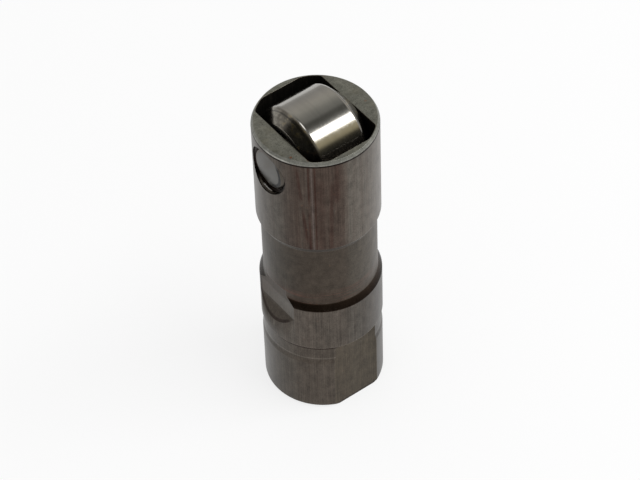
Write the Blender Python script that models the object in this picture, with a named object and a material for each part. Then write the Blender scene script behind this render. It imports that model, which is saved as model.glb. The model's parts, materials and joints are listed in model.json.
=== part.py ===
"""Hydraulic roller valve lifter, standing on its pushrod end with the roller up.

The frame is in metres with +Z up. The origin is on the lifter's own axis, at its end face.
+X runs along the roller's pin. The oil notch is on the -X side and the two guide flats face -Y and +Y.
"""

import math

import bmesh
import bpy
from mathutils import Matrix, Vector

MM = 0.001

# Lifter body, outside. Heights are measured up from the end face, or down from the rim where said.
BODY_R = 10.70 * MM          # ground head and guide band, which run in the engine's lifter bore
BODY_HEIGHT = 61.60 * MM
HEAD_LENGTH = 20.40 * MM     # ground head, measured down from the rim
WAIST_LENGTH = 15.75 * MM    # oil waist between head and band
BAND_LENGTH = 9.70 * MM
WAIST_DEPTH = 0.75 * MM
WAIST_TAPER = 1.25 * MM      # height of the cone at each end of the waist
RELIEF_DEPTH = 0.22 * MM     # shallow grinding relief under the band
RELIEF_LENGTH = 3.30 * MM
SKIRT_DEPTH = 0.08 * MM      # the skirt is ground a little under the band
RIM_CHAMFER = 0.38 * MM
END_CHAMFER = 0.35 * MM
BAND_EDGE = 0.10 * MM

# Guide flats, oil notch and oil hole
FLAT_DEPTH = 1.15 * MM       # each flat, below the band's surface
FLAT_STOP = 0.10 * MM        # the flats end this far under the band
NOTCH_DEPTH = 1.15 * MM
NOTCH_RISE = 2.50 * MM       # the notch's top above the band's top
NOTCH_DROP = 3.15 * MM       # the notch's ramp starts this far below the band's top
NOTCH_RAMP = math.radians(22.4)   # ramp, measured from the lifter's axis
OIL_HOLE_R = 1.20 * MM
OIL_HOLE_RISE = 1.60 * MM    # above the foot of the waist

# Roller pocket, seen from above a circle cut off by four straight walls
POCKET_WALL = 0.60 * MM      # thinnest wall, at the pocket's round corners
END_WALL = 1.40 * MM         # wall in the rolling direction
EAR = 3.90 * MM              # wall that carries the pin, at its middle
POCKET_EDGE = 0.12 * MM
POCKET_FLOOR_CLEAR = 0.90 * MM
WEB = 3.10 * MM              # solid floor between the pocket and the plunger bore

# Roller, needles and pin
AXLE_DEPTH = 5.75 * MM       # pin's axis, below the rim
WHEEL_END_CLEAR = 0.41 * MM
WHEEL_SIDE_CLEAR = 0.40 * MM
SHOULDER_WIDTH = 1.95 * MM   # tapered shoulder on each side of the tread
SHOULDER_DROP = 2.30 * MM
TREAD_EDGE = 0.25 * MM
WHEEL_WALL = 3.35 * MM       # between the tread and the needles' track
WHEEL_BORE_CHAMFER = 0.25 * MM
PIN_CHAMFER = 0.45 * MM
PIN_INSET = 0.85 * MM        # pin's end, below the body's surface
PIN_FIT = 0.02 * MM          # radial clearance of the pin in the ears
COUNTERBORE_WIDTH = 0.45 * MM
COUNTERBORE_DEPTH = 1.75 * MM
NEEDLE_COUNT = 18            # a full set, with no cage
NEEDLE_FIT = 0.02 * MM       # radial clearance on each side of a needle
NEEDLE_SPACING = 0.04 * MM   # gap between two needles
NEEDLE_SHORTER = 0.45 * MM   # a needle ends this far inside the hub's face
NEEDLE_CROWN = 0.30 * MM     # length of the rounded end
NEEDLE_CROWN_INSET = 0.24 * MM    # how far in the end's edge turns into its face
NEEDLE_CROWN_RISE = 0.09 * MM

# Plunger bore with its retaining ring
BORE_WALL = 2.80 * MM
BORE_CORNER = 0.40 * MM
MOUTH_CHAMFER = 0.45 * MM
RING_DEPTH = 1.50 * MM       # groove's near side, from the end face
RING_WIRE_R = 0.60 * MM
RING_GROOVE = 0.55 * MM      # groove depth
RING_PLAY = 0.10 * MM        # between the ring and each side of its groove
RING_FIT = 0.06 * MM         # between the ring and the bottom of its groove
RING_GAP = math.radians(28)  # open part of the ring

# Gaps between pieces
REST_GAP = 0.30 * MM         # between two large pieces that rest on each other
FINE_GAP = 0.10 * MM         # the same between the small valve pieces
SLIDE_FIT = 0.04 * MM        # radial clearance of the plunger and the seat in the bore

# Pushrod seat and metering disc
SEAT_HEIGHT = 6.00 * MM
SEAT_CHAMFER = 0.35 * MM
CUP_R = 4.05 * MM            # cup for the pushrod's ball end
CUP_DEPTH = 3.70 * MM
SEAT_HOLE_R = 0.80 * MM
DISC_THICKNESS = 0.70 * MM
DISC_HOLE_R = 0.55 * MM
DISC_FLOAT = 0.25 * MM
DISC_SIDE_CLEAR = 0.25 * MM
RECESS_WALL = 2.11 * MM      # plunger's rim round the disc

# Plunger
PLUNGER_TRAVEL = 3.50 * MM
PLUNGER_END_CLEAR = 0.40 * MM     # left over the retainer when the plunger is bottomed
PLUNGER_WALL = 2.86 * MM
PLUNGER_WEB = 3.00 * MM
PLUNGER_CHAMFER = 0.40 * MM
VALVE_HOLE_R = 1.30 * MM
GROOVE_DEPTH = 0.90 * MM          # oil groove round the plunger
GROOVE_MARGIN = 0.30 * MM         # the groove reaches this far past the oil hole
PORT_R = 1.00 * MM

# Check valve
BALL_R = 2.00 * MM
CHECK_LIFT = 0.30 * MM
CHECK_WIRE_R = 0.14 * MM
CHECK_COIL_R = 1.15 * MM          # coil that sits on the ball
CHECK_COIL_SPREAD = 0.50 * MM     # the coil under the retainer is this much wider
CHECK_SPRING_SPARE = 0.06 * MM    # left between the turns when the ball is fully lifted
CHECK_TURNS = 3
RETAINER_WALL = 0.40 * MM
RETAINER_CLEAR = 0.30 * MM        # round the ball
RETAINER_VENT_R = 0.60 * MM
RETAINER_WINDOWS = 3
WINDOW_WIDTH = 1.60 * MM
WINDOW_MARGIN = 0.45 * MM

# Plunger spring
SPRING_WIRE_R = 0.45 * MM
SPRING_SIDE_CLEAR = 1.85 * MM     # between the coil and the bore
SPRING_TURNS = 5
SPRING_END_TURNS = 0.75           # closed part at each end
SPRING_END_PITCH = 1.08           # pitch of the closed part, in wire diameters
FLANGE_MARGIN = 0.30 * MM         # retainer's flange beyond the spring

# Facets
BODY_SIDES = 60
WHEEL_SIDES = 60
BORE_SIDES = 48
PIN_SIDES = 40
NEEDLE_SIDES = 12
SMALL_SIDES = 36
BALL_SIDES = 24
HOLE_SIDES = 20
CORNER_STEPS = 4
CUP_STEPS = 7
WIRE_SIDES = 8
THIN_WIRE_SIDES = 6
COIL_STEPS = 16
CUT_OVER = 1.0 * MM          # how far a cutter reaches past what it cuts
SMOOTH_ANGLE = math.radians(35)

# Worked out: outside of the body
WAIST_R = BODY_R - WAIST_DEPTH
RELIEF_R = BODY_R - RELIEF_DEPTH
SKIRT_R = BODY_R - SKIRT_DEPTH
HEAD_BOTTOM = BODY_HEIGHT - HEAD_LENGTH
BAND_TOP = HEAD_BOTTOM - WAIST_LENGTH
BAND_BOTTOM = BAND_TOP - BAND_LENGTH
RELIEF_BOTTOM = BAND_BOTTOM - RELIEF_LENGTH
FLAT_DISTANCE = BODY_R - FLAT_DEPTH
FLAT_TOP = BAND_BOTTOM - FLAT_STOP
NOTCH_DISTANCE = BODY_R - NOTCH_DEPTH
OIL_HOLE_Z = BAND_TOP + WAIST_TAPER + OIL_HOLE_RISE

# Worked out: pocket, roller, needles and pin
POCKET_R = BODY_R - POCKET_WALL
SLOT_HALF_LENGTH = BODY_R - END_WALL
SLOT_HALF_WIDTH = BODY_R - EAR
WHEEL_R = SLOT_HALF_LENGTH - WHEEL_END_CLEAR
HUB_R = WHEEL_R - SHOULDER_DROP
HUB_HALF = SLOT_HALF_WIDTH - WHEEL_SIDE_CLEAR
TREAD_HALF = HUB_HALF - SHOULDER_WIDTH
AXLE_Z = BODY_HEIGHT - AXLE_DEPTH
POCKET_FLOOR = AXLE_Z - WHEEL_R - POCKET_FLOOR_CLEAR
WHEEL_BORE_R = WHEEL_R - WHEEL_WALL
NEEDLE_STEP = math.sin(math.pi / NEEDLE_COUNT)    # half the step between two needles, at radius 1
NEEDLE_R = ((WHEEL_BORE_R - NEEDLE_FIT) * NEEDLE_STEP - NEEDLE_SPACING / 2) / (1 + NEEDLE_STEP)
NEEDLE_CROWN_R = NEEDLE_R - NEEDLE_CROWN_INSET
NEEDLE_HALF = HUB_HALF - NEEDLE_SHORTER
NEEDLE_PITCH_R = WHEEL_BORE_R - NEEDLE_FIT - NEEDLE_R
PIN_R = NEEDLE_PITCH_R - NEEDLE_R - NEEDLE_FIT
PIN_HALF = BODY_R - PIN_INSET
PIN_HOLE_R = PIN_R + PIN_FIT
COUNTERBORE_R = PIN_HOLE_R + COUNTERBORE_WIDTH

# Worked out: bore, ring, seat and disc, from the mouth upwards
BORE_R = BODY_R - BORE_WALL
BORE_FLOOR = POCKET_FLOOR - WEB
PLUNGER_R = BORE_R - SLIDE_FIT
RING_GROOVE_R = BORE_R + RING_GROOVE
RING_GROOVE_TOP = RING_DEPTH + 2 * (RING_WIRE_R + RING_PLAY)
RING_Z = (RING_DEPTH + RING_GROOVE_TOP) / 2
RING_R = RING_GROOVE_R - RING_FIT - RING_WIRE_R
SEAT_BOTTOM = RING_Z + RING_WIRE_R + REST_GAP
SEAT_TOP = SEAT_BOTTOM + SEAT_HEIGHT
PLUNGER_BOTTOM = SEAT_TOP + REST_GAP
DISC_Z = SEAT_TOP + FINE_GAP
DISC_R = PLUNGER_R - RECESS_WALL - DISC_SIDE_CLEAR
RECESS_TOP = DISC_Z + DISC_THICKNESS + DISC_FLOAT + FINE_GAP

# Worked out: plunger and check valve, from the bore's floor downwards
CHECK_SPRING_HEIGHT = CHECK_TURNS * 2 * CHECK_WIRE_R + CHECK_LIFT + CHECK_SPRING_SPARE
BALL_RISE = math.sqrt((BALL_R + FINE_GAP) ** 2 - VALVE_HOLE_R ** 2)
COIL_RISE = math.sqrt((BALL_R + CHECK_WIRE_R + FINE_GAP) ** 2 - CHECK_COIL_R ** 2)
RETAINER_INSIDE = BALL_RISE + COIL_RISE + CHECK_SPRING_HEIGHT + CHECK_WIRE_R + FINE_GAP
PLUNGER_TOP = (BORE_FLOOR - PLUNGER_END_CLEAR - PLUNGER_TRAVEL
               - RETAINER_WALL - RETAINER_INSIDE)
BALL_Z = PLUNGER_TOP + BALL_RISE
CHECK_SPRING_Z = BALL_Z + COIL_RISE
RETAINER_BOTTOM = PLUNGER_TOP + FINE_GAP
RETAINER_CEILING = PLUNGER_TOP + RETAINER_INSIDE
RETAINER_R = BALL_R + RETAINER_CLEAR
SPRING_COIL_R = BORE_R - SPRING_SIDE_CLEAR - SPRING_WIRE_R
FLANGE_R = SPRING_COIL_R + SPRING_WIRE_R + FLANGE_MARGIN
SPRING_BOTTOM = RETAINER_BOTTOM + RETAINER_WALL + FINE_GAP + SPRING_WIRE_R
SPRING_TOP = BORE_FLOOR - FINE_GAP - SPRING_WIRE_R
RESERVOIR_R = PLUNGER_R - PLUNGER_WALL
RESERVOIR_TOP = PLUNGER_TOP - PLUNGER_WEB
GROOVE_R = PLUNGER_R - GROOVE_DEPTH
GROOVE_BOTTOM = OIL_HOLE_Z - OIL_HOLE_R - PLUNGER_TRAVEL - GROOVE_MARGIN
GROOVE_TOP = OIL_HOLE_Z + OIL_HOLE_R + GROOVE_MARGIN

ALONG_X = Matrix.Rotation(math.radians(90), 4, "Y")
ALONG_Y = Matrix.Rotation(math.radians(-90), 4, "X")


def clear_scene():
    for old in list(bpy.data.objects):
        bpy.data.objects.remove(old)


def steel(name, colour, roughness, metallic=1.0):
    """A piece's own material."""
    material = bpy.data.materials.new(name)
    material.use_nodes = True
    shader = material.node_tree.nodes["Principled BSDF"]
    shader.inputs["Base Color"].default_value = (*colour, 1.0)
    shader.inputs["Roughness"].default_value = roughness
    shader.inputs["Metallic"].default_value = metallic
    return material


def finished_mesh(name, bm):
    """A mesh from bm with its faces outwards and its round stretches shaded smooth."""
    bmesh.ops.recalc_face_normals(bm, faces=bm.faces)
    mesh = bpy.data.meshes.new(name)
    bm.to_mesh(mesh)
    bm.free()
    mesh.shade_smooth()
    mesh.set_sharp_from_angle(angle=SMOOTH_ANGLE)
    return mesh


def placed(name, mesh, location=(0, 0, 0), rotation=(0, 0, 0), parent=None, material=None):
    obj = bpy.data.objects.new(name, mesh)
    bpy.context.scene.collection.objects.link(obj)
    obj.parent = parent
    obj.location = location
    obj.rotation_euler = rotation
    if material and not mesh.materials:
        mesh.materials.append(material)
    return obj


def carrier(name, location):
    """An empty on a joint's axis, which holds the pieces that move together."""
    return placed(name, None, location)


def turned(profile, sides, closed=True):
    """Turns a profile of (radius, height) points about Z. An open profile starts and ends on Z."""
    bm = bmesh.new()
    points = [bm.verts.new((radius, 0, height)) for radius, height in profile]
    edges = [bm.edges.new(pair) for pair in zip(points, points[1:])]
    if closed:
        edges.append(bm.edges.new((points[-1], points[0])))
    bmesh.ops.spin(bm, geom=points + edges, cent=(0, 0, 0), axis=(0, 0, 1),
                   angle=2 * math.pi, steps=sides, use_merge=True)
    bmesh.ops.remove_doubles(bm, verts=bm.verts, dist=1e-7)
    return bm


def lofted(sections):
    """Joins closed sections with the same number of points and closes both ends."""
    bm = bmesh.new()
    rings = [[bm.verts.new(point) for point in section] for section in sections]
    count = len(rings[0])
    for lower, upper in zip(rings, rings[1:]):
        for i in range(count):
            j = (i + 1) % count
            bm.faces.new((lower[i], lower[j], upper[j], upper[i]))
    bm.faces.new(reversed(rings[0]))
    bm.faces.new(rings[-1])
    return bm


def swept_wire(path, wire_r, sides):
    """A round wire along a path whose direction stays near level."""
    sections = []
    for i, point in enumerate(path):
        ahead = path[min(i + 1, len(path) - 1)]
        behind = path[max(i - 1, 0)]
        along = (ahead - behind).normalized()
        up = (Vector((0, 0, 1)) - along * along.z).normalized()
        side = along.cross(up)
        sections.append([point + (side * math.cos(a) + up * math.sin(a)) * wire_r
                         for a in (2 * math.pi * k / sides for k in range(sides))])
    return lofted(sections)


def block(low, high):
    """A box between two corners."""
    bm = bmesh.new()
    bmesh.ops.create_cube(bm, size=1.0)
    size = Vector(high) - Vector(low)
    middle = (Vector(high) + Vector(low)) / 2
    bmesh.ops.transform(bm, verts=bm.verts,
                        matrix=Matrix.Translation(middle) @ Matrix.Diagonal((*size, 1.0)))
    return bm


def rod(radius, start, end, sides=HOLE_SIDES):
    """A plain round rod along Z."""
    return turned([(0, start), (radius, start), (radius, end), (0, end)], sides, closed=False)


def cut(target, name, bm, turn=Matrix.Identity(4), rotation=(0, 0, 0)):
    """Takes the solid bm out of target."""
    bmesh.ops.transform(bm, matrix=turn, verts=bm.verts)
    tool = placed(name, finished_mesh(name, bm), rotation=rotation)
    tool.parent = target.parent
    tool.hide_render = True
    tool.display_type = "WIRE"
    modifier = target.modifiers.new(name, "BOOLEAN")
    modifier.operation = "DIFFERENCE"
    modifier.solver = "EXACT"
    modifier.object = tool
    return tool


def body_profile():
    outside = [
        (SKIRT_R - END_CHAMFER, 0),
        (SKIRT_R, END_CHAMFER),
        (SKIRT_R, RELIEF_BOTTOM - (SKIRT_R - RELIEF_R)),
        (RELIEF_R, RELIEF_BOTTOM),
        (RELIEF_R, BAND_BOTTOM),
        (BODY_R, BAND_BOTTOM + BAND_EDGE),
        (BODY_R, BAND_TOP),
        (WAIST_R, BAND_TOP + WAIST_TAPER),
        (WAIST_R, HEAD_BOTTOM - WAIST_TAPER),
        (BODY_R, HEAD_BOTTOM),
        (BODY_R, BODY_HEIGHT - RIM_CHAMFER),
        (BODY_R - RIM_CHAMFER, BODY_HEIGHT),
        (0, BODY_HEIGHT),
    ]
    inside = [
        (0, BORE_FLOOR),
        (BORE_R - BORE_CORNER, BORE_FLOOR),
        (BORE_R, BORE_FLOOR - BORE_CORNER),
        (BORE_R, RING_GROOVE_TOP),
        (RING_GROOVE_R, RING_GROOVE_TOP),
        (RING_GROOVE_R, RING_DEPTH),
        (BORE_R, RING_DEPTH),
        (BORE_R, MOUTH_CHAMFER),
        (BORE_R + MOUTH_CHAMFER, 0),
    ]
    return inside + outside


def pocket_outline(height, grow=0.0):
    """The pocket's outline at a height: a circle's four arcs between straight walls."""
    radius = POCKET_R + grow
    first = math.acos((SLOT_HALF_WIDTH + grow) / radius)
    last = math.asin(min(1.0, (SLOT_HALF_LENGTH + grow) / radius))
    arc = [first + (last - first) * i / CORNER_STEPS for i in range(CORNER_STEPS + 1)]
    half = arc + [math.pi - a for a in reversed(arc)]
    angles = half + [a + math.pi for a in half]
    return [(radius * math.cos(a), radius * math.sin(a), height) for a in angles]


def pocket_solid():
    return lofted([
        pocket_outline(POCKET_FLOOR),
        pocket_outline(BODY_HEIGHT - POCKET_EDGE),
        pocket_outline(BODY_HEIGHT, POCKET_EDGE),
        pocket_outline(BODY_HEIGHT + CUT_OVER, POCKET_EDGE),
    ])


def pin_hole_solid():
    """The pin's bore through both ears, with a counterbore at each end."""
    inner = BODY_R - COUNTERBORE_DEPTH
    outer = BODY_R + CUT_OVER
    return turned([
        (0, -outer),
        (COUNTERBORE_R, -outer),
        (COUNTERBORE_R, -inner),
        (PIN_HOLE_R, -inner),
        (PIN_HOLE_R, inner),
        (COUNTERBORE_R, inner),
        (COUNTERBORE_R, outer),
        (0, outer),
    ], PIN_SIDES, closed=False)


def notch_solid():
    """The oil notch: a flat across the band's top edge with a ramp at each end."""
    reach = CUT_OVER + NOTCH_DEPTH
    foot = BAND_TOP - NOTCH_DROP
    head = BAND_TOP + NOTCH_RISE
    side = [
        (-NOTCH_DISTANCE, foot),
        (-NOTCH_DISTANCE, head),
        (-NOTCH_DISTANCE - reach, head + reach),
        (-NOTCH_DISTANCE - reach, foot - reach / math.tan(NOTCH_RAMP)),
    ]
    return lofted([[(x, y, z) for x, z in side] for y in (-BODY_R, BODY_R)])


def flat_solid(side):
    """What a guide flat takes off, on the side -1 or +1 of Y."""
    near, far = FLAT_DISTANCE * side, (BODY_R + CUT_OVER) * side
    reach = BODY_R + CUT_OVER
    return block((-reach, min(near, far), -CUT_OVER), (reach, max(near, far), FLAT_TOP))


def make_body():
    mesh = finished_mesh("lifter_body", turned(body_profile(), BODY_SIDES, closed=False))
    body = placed("lifter_body", mesh,
                  material=steel("ground_body_steel", (0.20, 0.19, 0.175), 0.38))
    cut(body, "pocket_cutter", pocket_solid())
    cut(body, "pin_hole_cutter", pin_hole_solid(), Matrix.Translation((0, 0, AXLE_Z)) @ ALONG_X)
    cut(body, "notch_cutter", notch_solid())
    cut(body, "front_flat_cutter", flat_solid(-1))
    cut(body, "rear_flat_cutter", flat_solid(1))
    cut(body, "oil_hole_cutter", oil_hole_solid(), Matrix.Translation((0, 0, OIL_HOLE_Z)) @ ALONG_X)
    return body


def oil_hole_solid():
    return rod(OIL_HOLE_R, BORE_R - CUT_OVER, WAIST_R + CUT_OVER)


def make_pin():
    profile = [
        (0, -PIN_HALF),
        (PIN_R - PIN_CHAMFER, -PIN_HALF),
        (PIN_R, -PIN_HALF + PIN_CHAMFER),
        (PIN_R, PIN_HALF - PIN_CHAMFER),
        (PIN_R - PIN_CHAMFER, PIN_HALF),
        (0, PIN_HALF),
    ]
    mesh = finished_mesh("roller_pin", turned(profile, PIN_SIDES, closed=False))
    mesh.transform(ALONG_X)
    return placed("roller_pin", mesh, (0, 0, AXLE_Z),
                  material=steel("pin_steel", (0.36, 0.36, 0.35), 0.33))


def make_wheel():
    """The roller: a flat tread between two tapered shoulders, bored for the needles."""
    slope = SHOULDER_DROP / SHOULDER_WIDTH
    half = [
        (WHEEL_BORE_R, HUB_HALF - WHEEL_BORE_CHAMFER),
        (WHEEL_BORE_R + WHEEL_BORE_CHAMFER, HUB_HALF),
        (HUB_R, HUB_HALF),
        (WHEEL_R - TREAD_EDGE * slope, TREAD_HALF + TREAD_EDGE),
        (WHEEL_R, TREAD_HALF - TREAD_EDGE),
    ]
    profile = half + [(radius, -x) for radius, x in reversed(half)]
    mesh = finished_mesh("roller_wheel", turned(profile, WHEEL_SIDES))
    mesh.transform(ALONG_X)
    return placed("roller_wheel", mesh, (0, 0, AXLE_Z),
                  material=steel("polished_roller_steel", (0.55, 0.54, 0.51), 0.16))


def make_needles():
    """A full complement of needles, with no cage, round the pin."""
    profile = [
        (0, -NEEDLE_HALF),
        (NEEDLE_CROWN_R, -NEEDLE_HALF + NEEDLE_CROWN_RISE),
        (NEEDLE_R, -NEEDLE_HALF + NEEDLE_CROWN),
        (NEEDLE_R, NEEDLE_HALF - NEEDLE_CROWN),
        (NEEDLE_CROWN_R, NEEDLE_HALF - NEEDLE_CROWN_RISE),
        (0, NEEDLE_HALF),
    ]
    mesh = finished_mesh("needle", turned(profile, NEEDLE_SIDES, closed=False))
    mesh.transform(ALONG_X)
    orbit = carrier("needle_orbit_axis", (0, 0, AXLE_Z))
    material = steel("needle_steel", (0.60, 0.60, 0.60), 0.20)
    for i in range(NEEDLE_COUNT):
        angle = 2 * math.pi * i / NEEDLE_COUNT
        place = (0, NEEDLE_PITCH_R * math.cos(angle), NEEDLE_PITCH_R * math.sin(angle))
        placed(f"needle_{i + 1:02d}", mesh, place, (angle, 0, 0), orbit, material)


def make_ring():
    """The open wire ring that keeps the plunger unit in its bore."""
    sweep = 2 * math.pi - RING_GAP
    steps = int(BORE_SIDES * sweep / (2 * math.pi))
    start = -math.pi / 2 + RING_GAP / 2
    path = [Vector((RING_R * math.cos(a), RING_R * math.sin(a), RING_Z))
            for a in (start + sweep * i / steps for i in range(steps + 1))]
    mesh = finished_mesh("retaining_ring", swept_wire(path, RING_WIRE_R, WIRE_SIDES))
    return placed("retaining_ring", mesh, material=steel("ring_wire", (0.16, 0.16, 0.17), 0.42))


def cup_arc():
    """The cup's wall from its mouth to the oil hole, as (radius, height above the seat's face)."""
    centre = CUP_DEPTH - CUP_R
    mouth = math.asin(-centre / CUP_R)
    hole = math.acos(SEAT_HOLE_R / CUP_R)
    return [(CUP_R * math.cos(a), centre + CUP_R * math.sin(a))
            for a in (mouth + (hole - mouth) * i / CUP_STEPS for i in range(CUP_STEPS + 1))]


def make_seat(unit):
    profile = cup_arc() + [
        (SEAT_HOLE_R, SEAT_HEIGHT),
        (PLUNGER_R - SEAT_CHAMFER, SEAT_HEIGHT),
        (PLUNGER_R, SEAT_HEIGHT - SEAT_CHAMFER),
        (PLUNGER_R, SEAT_CHAMFER),
        (PLUNGER_R - SEAT_CHAMFER, 0),
    ]
    return placed("pushrod_seat", finished_mesh("pushrod_seat", turned(profile, BORE_SIDES)),
                  (0, 0, SEAT_BOTTOM - PLUNGER_BOTTOM), parent=unit,
                  material=steel("seat_steel", (0.32, 0.31, 0.30), 0.30))


def make_disc():
    profile = [
        (DISC_HOLE_R, 0),
        (DISC_R, 0),
        (DISC_R, DISC_THICKNESS),
        (DISC_HOLE_R, DISC_THICKNESS),
    ]
    return placed("metering_disc", finished_mesh("metering_disc", turned(profile, SMALL_SIDES)),
                  (0, 0, DISC_Z), material=steel("disc_steel", (0.45, 0.44, 0.42), 0.35))


def make_plunger(unit):
    """The hollow plunger. Heights in its mesh are measured from its open end."""
    def at(radius, height):
        return radius, height - PLUNGER_BOTTOM
    profile = [
        at(DISC_R + DISC_SIDE_CLEAR, PLUNGER_BOTTOM),
        at(DISC_R + DISC_SIDE_CLEAR, RECESS_TOP),
        at(RESERVOIR_R, RECESS_TOP),
        at(RESERVOIR_R, RESERVOIR_TOP - PLUNGER_CHAMFER),
        at(RESERVOIR_R - PLUNGER_CHAMFER, RESERVOIR_TOP),
        at(VALVE_HOLE_R, RESERVOIR_TOP),
        at(VALVE_HOLE_R, PLUNGER_TOP),
        at(PLUNGER_R - PLUNGER_CHAMFER, PLUNGER_TOP),
        at(PLUNGER_R, PLUNGER_TOP - PLUNGER_CHAMFER),
        at(PLUNGER_R, GROOVE_TOP),
        at(GROOVE_R, GROOVE_TOP),
        at(GROOVE_R, GROOVE_BOTTOM),
        at(PLUNGER_R, GROOVE_BOTTOM),
        at(PLUNGER_R, PLUNGER_BOTTOM + PLUNGER_CHAMFER),
        at(PLUNGER_R - PLUNGER_CHAMFER, PLUNGER_BOTTOM),
    ]
    plunger = placed("plunger", finished_mesh("plunger", turned(profile, BORE_SIDES)), parent=unit,
                     material=steel("plunger_steel", (0.40, 0.39, 0.38), 0.24))
    port_z = (GROOVE_BOTTOM + GROOVE_TOP) / 2 - PLUNGER_BOTTOM
    port = rod(PORT_R, RESERVOIR_R - CUT_OVER, GROOVE_R + CUT_OVER)
    cut(plunger, "port_cutter", port, Matrix.Translation((0, 0, port_z)) @ ALONG_Y)
    return plunger


def make_ball():
    bm = bmesh.new()
    bmesh.ops.create_uvsphere(bm, u_segments=BALL_SIDES, v_segments=BALL_SIDES // 2,
                              radius=BALL_R)
    return placed("check_ball", finished_mesh("check_ball", bm), (0, 0, BALL_Z),
                  material=steel("ball_steel", (0.65, 0.65, 0.65), 0.10))


def make_retainer(unit):
    """The pressed hat over the ball, with a flange under the plunger spring and windows for the oil."""
    outer = RETAINER_R + RETAINER_WALL
    ceiling = RETAINER_CEILING - RETAINER_BOTTOM
    profile = [
        (RETAINER_R, 0),
        (FLANGE_R, 0),
        (FLANGE_R, RETAINER_WALL),
        (outer, RETAINER_WALL),
        (outer, ceiling + RETAINER_WALL),
        (RETAINER_VENT_R, ceiling + RETAINER_WALL),
        (RETAINER_VENT_R, ceiling),
        (RETAINER_R, ceiling),
    ]
    retainer = placed("check_retainer", finished_mesh("check_retainer", turned(profile, SMALL_SIDES)),
                      (0, 0, RETAINER_BOTTOM - PLUNGER_BOTTOM), parent=unit,
                      material=steel("pressed_sheet_steel", (0.42, 0.40, 0.36), 0.40))
    low = RETAINER_BOTTOM - PLUNGER_BOTTOM + RETAINER_WALL + WINDOW_MARGIN
    high = RETAINER_CEILING - PLUNGER_BOTTOM - WINDOW_MARGIN
    for i in range(RETAINER_WINDOWS):
        window = block((RETAINER_R / 2, -WINDOW_WIDTH / 2, low), (outer + CUT_OVER, WINDOW_WIDTH / 2, high))
        cut(retainer, f"window_cutter_{i + 1}", window, rotation=(0, 0, 2 * math.pi * i / RETAINER_WINDOWS))
    return retainer


def make_check_spring(unit):
    """The small conical coil between the ball and the retainer's ceiling."""
    steps = CHECK_TURNS * COIL_STEPS
    path = []
    for i in range(steps + 1):
        share = i / steps
        radius = CHECK_COIL_R + CHECK_COIL_SPREAD * share
        angle = 2 * math.pi * CHECK_TURNS * share
        path.append(Vector((radius * math.cos(angle), radius * math.sin(angle),
                            CHECK_SPRING_HEIGHT * share)))
    mesh = finished_mesh("check_spring", swept_wire(path, CHECK_WIRE_R, THIN_WIRE_SIDES))
    return placed("check_spring", mesh, (0, 0, CHECK_SPRING_Z - PLUNGER_BOTTOM), parent=unit,
                  material=steel("fine_spring_wire", (0.50, 0.50, 0.50), 0.28))


def spring_height(turn):
    """Height of the plunger spring's wire at a turn, closed at both ends and open between."""
    closed = SPRING_END_TURNS * SPRING_END_PITCH * 2 * SPRING_WIRE_R
    open_turns = SPRING_TURNS - 2 * SPRING_END_TURNS
    pitch = (SPRING_TOP - SPRING_BOTTOM - 2 * closed) / open_turns
    if turn < SPRING_END_TURNS:
        return closed * turn / SPRING_END_TURNS
    if turn > SPRING_TURNS - SPRING_END_TURNS:
        return SPRING_TOP - SPRING_BOTTOM - closed * (SPRING_TURNS - turn) / SPRING_END_TURNS
    return closed + pitch * (turn - SPRING_END_TURNS)


def make_plunger_spring():
    steps = SPRING_TURNS * COIL_STEPS
    path = []
    for i in range(steps + 1):
        turn = SPRING_TURNS * i / steps
        angle = 2 * math.pi * turn
        path.append(Vector((SPRING_COIL_R * math.cos(angle), SPRING_COIL_R * math.sin(angle),
                            spring_height(turn))))
    mesh = finished_mesh("plunger_spring", swept_wire(path, SPRING_WIRE_R, THIN_WIRE_SIDES))
    return placed("plunger_spring", mesh, (0, 0, SPRING_BOTTOM),
                  material=steel("spring_wire", (0.28, 0.27, 0.26), 0.32))


def main():
    clear_scene()
    make_body()
    make_pin()
    make_wheel()
    make_needles()
    make_ring()
    unit = carrier("plunger_unit", (0, 0, PLUNGER_BOTTOM))
    make_plunger(unit)
    make_seat(unit)
    make_retainer(unit)
    make_check_spring(unit)
    make_disc()
    make_ball()
    make_plunger_spring()


main()
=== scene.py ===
"""A hydraulic roller valve lifter, dressed for the camera around its CAD frame.

Everything is in metres in the CAD's frame: +Z runs up the lifter towards the roller and +X along the
roller's pin. Each piece has its place in its mesh, so that its object stays at the origin.
"""

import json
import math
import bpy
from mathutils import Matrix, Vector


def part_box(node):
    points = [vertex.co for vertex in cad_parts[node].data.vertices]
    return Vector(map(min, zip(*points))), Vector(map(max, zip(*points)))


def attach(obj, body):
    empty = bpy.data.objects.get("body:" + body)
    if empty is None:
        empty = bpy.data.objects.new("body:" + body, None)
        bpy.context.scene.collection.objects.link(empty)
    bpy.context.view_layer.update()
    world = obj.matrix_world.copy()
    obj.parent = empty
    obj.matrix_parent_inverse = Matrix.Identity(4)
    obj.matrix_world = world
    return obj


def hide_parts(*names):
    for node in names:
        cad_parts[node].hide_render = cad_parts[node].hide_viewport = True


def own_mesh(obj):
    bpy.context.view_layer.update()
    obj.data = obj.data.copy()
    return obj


bl_info = {
    "name": "Roller valve lifter",
    "version": (1, 0, 0),
    "blender": (4, 5, 0),
    "location": "3D View > Sidebar > Lifter",
    "description": "Builds a hydraulic roller valve lifter and the studio it stands in",
    "category": "Add Mesh",
}

from types import SimpleNamespace

import bmesh
import bpy
from bpy.props import FloatProperty, FloatVectorProperty, IntProperty, PointerProperty
from mathutils import Matrix, Vector

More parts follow.
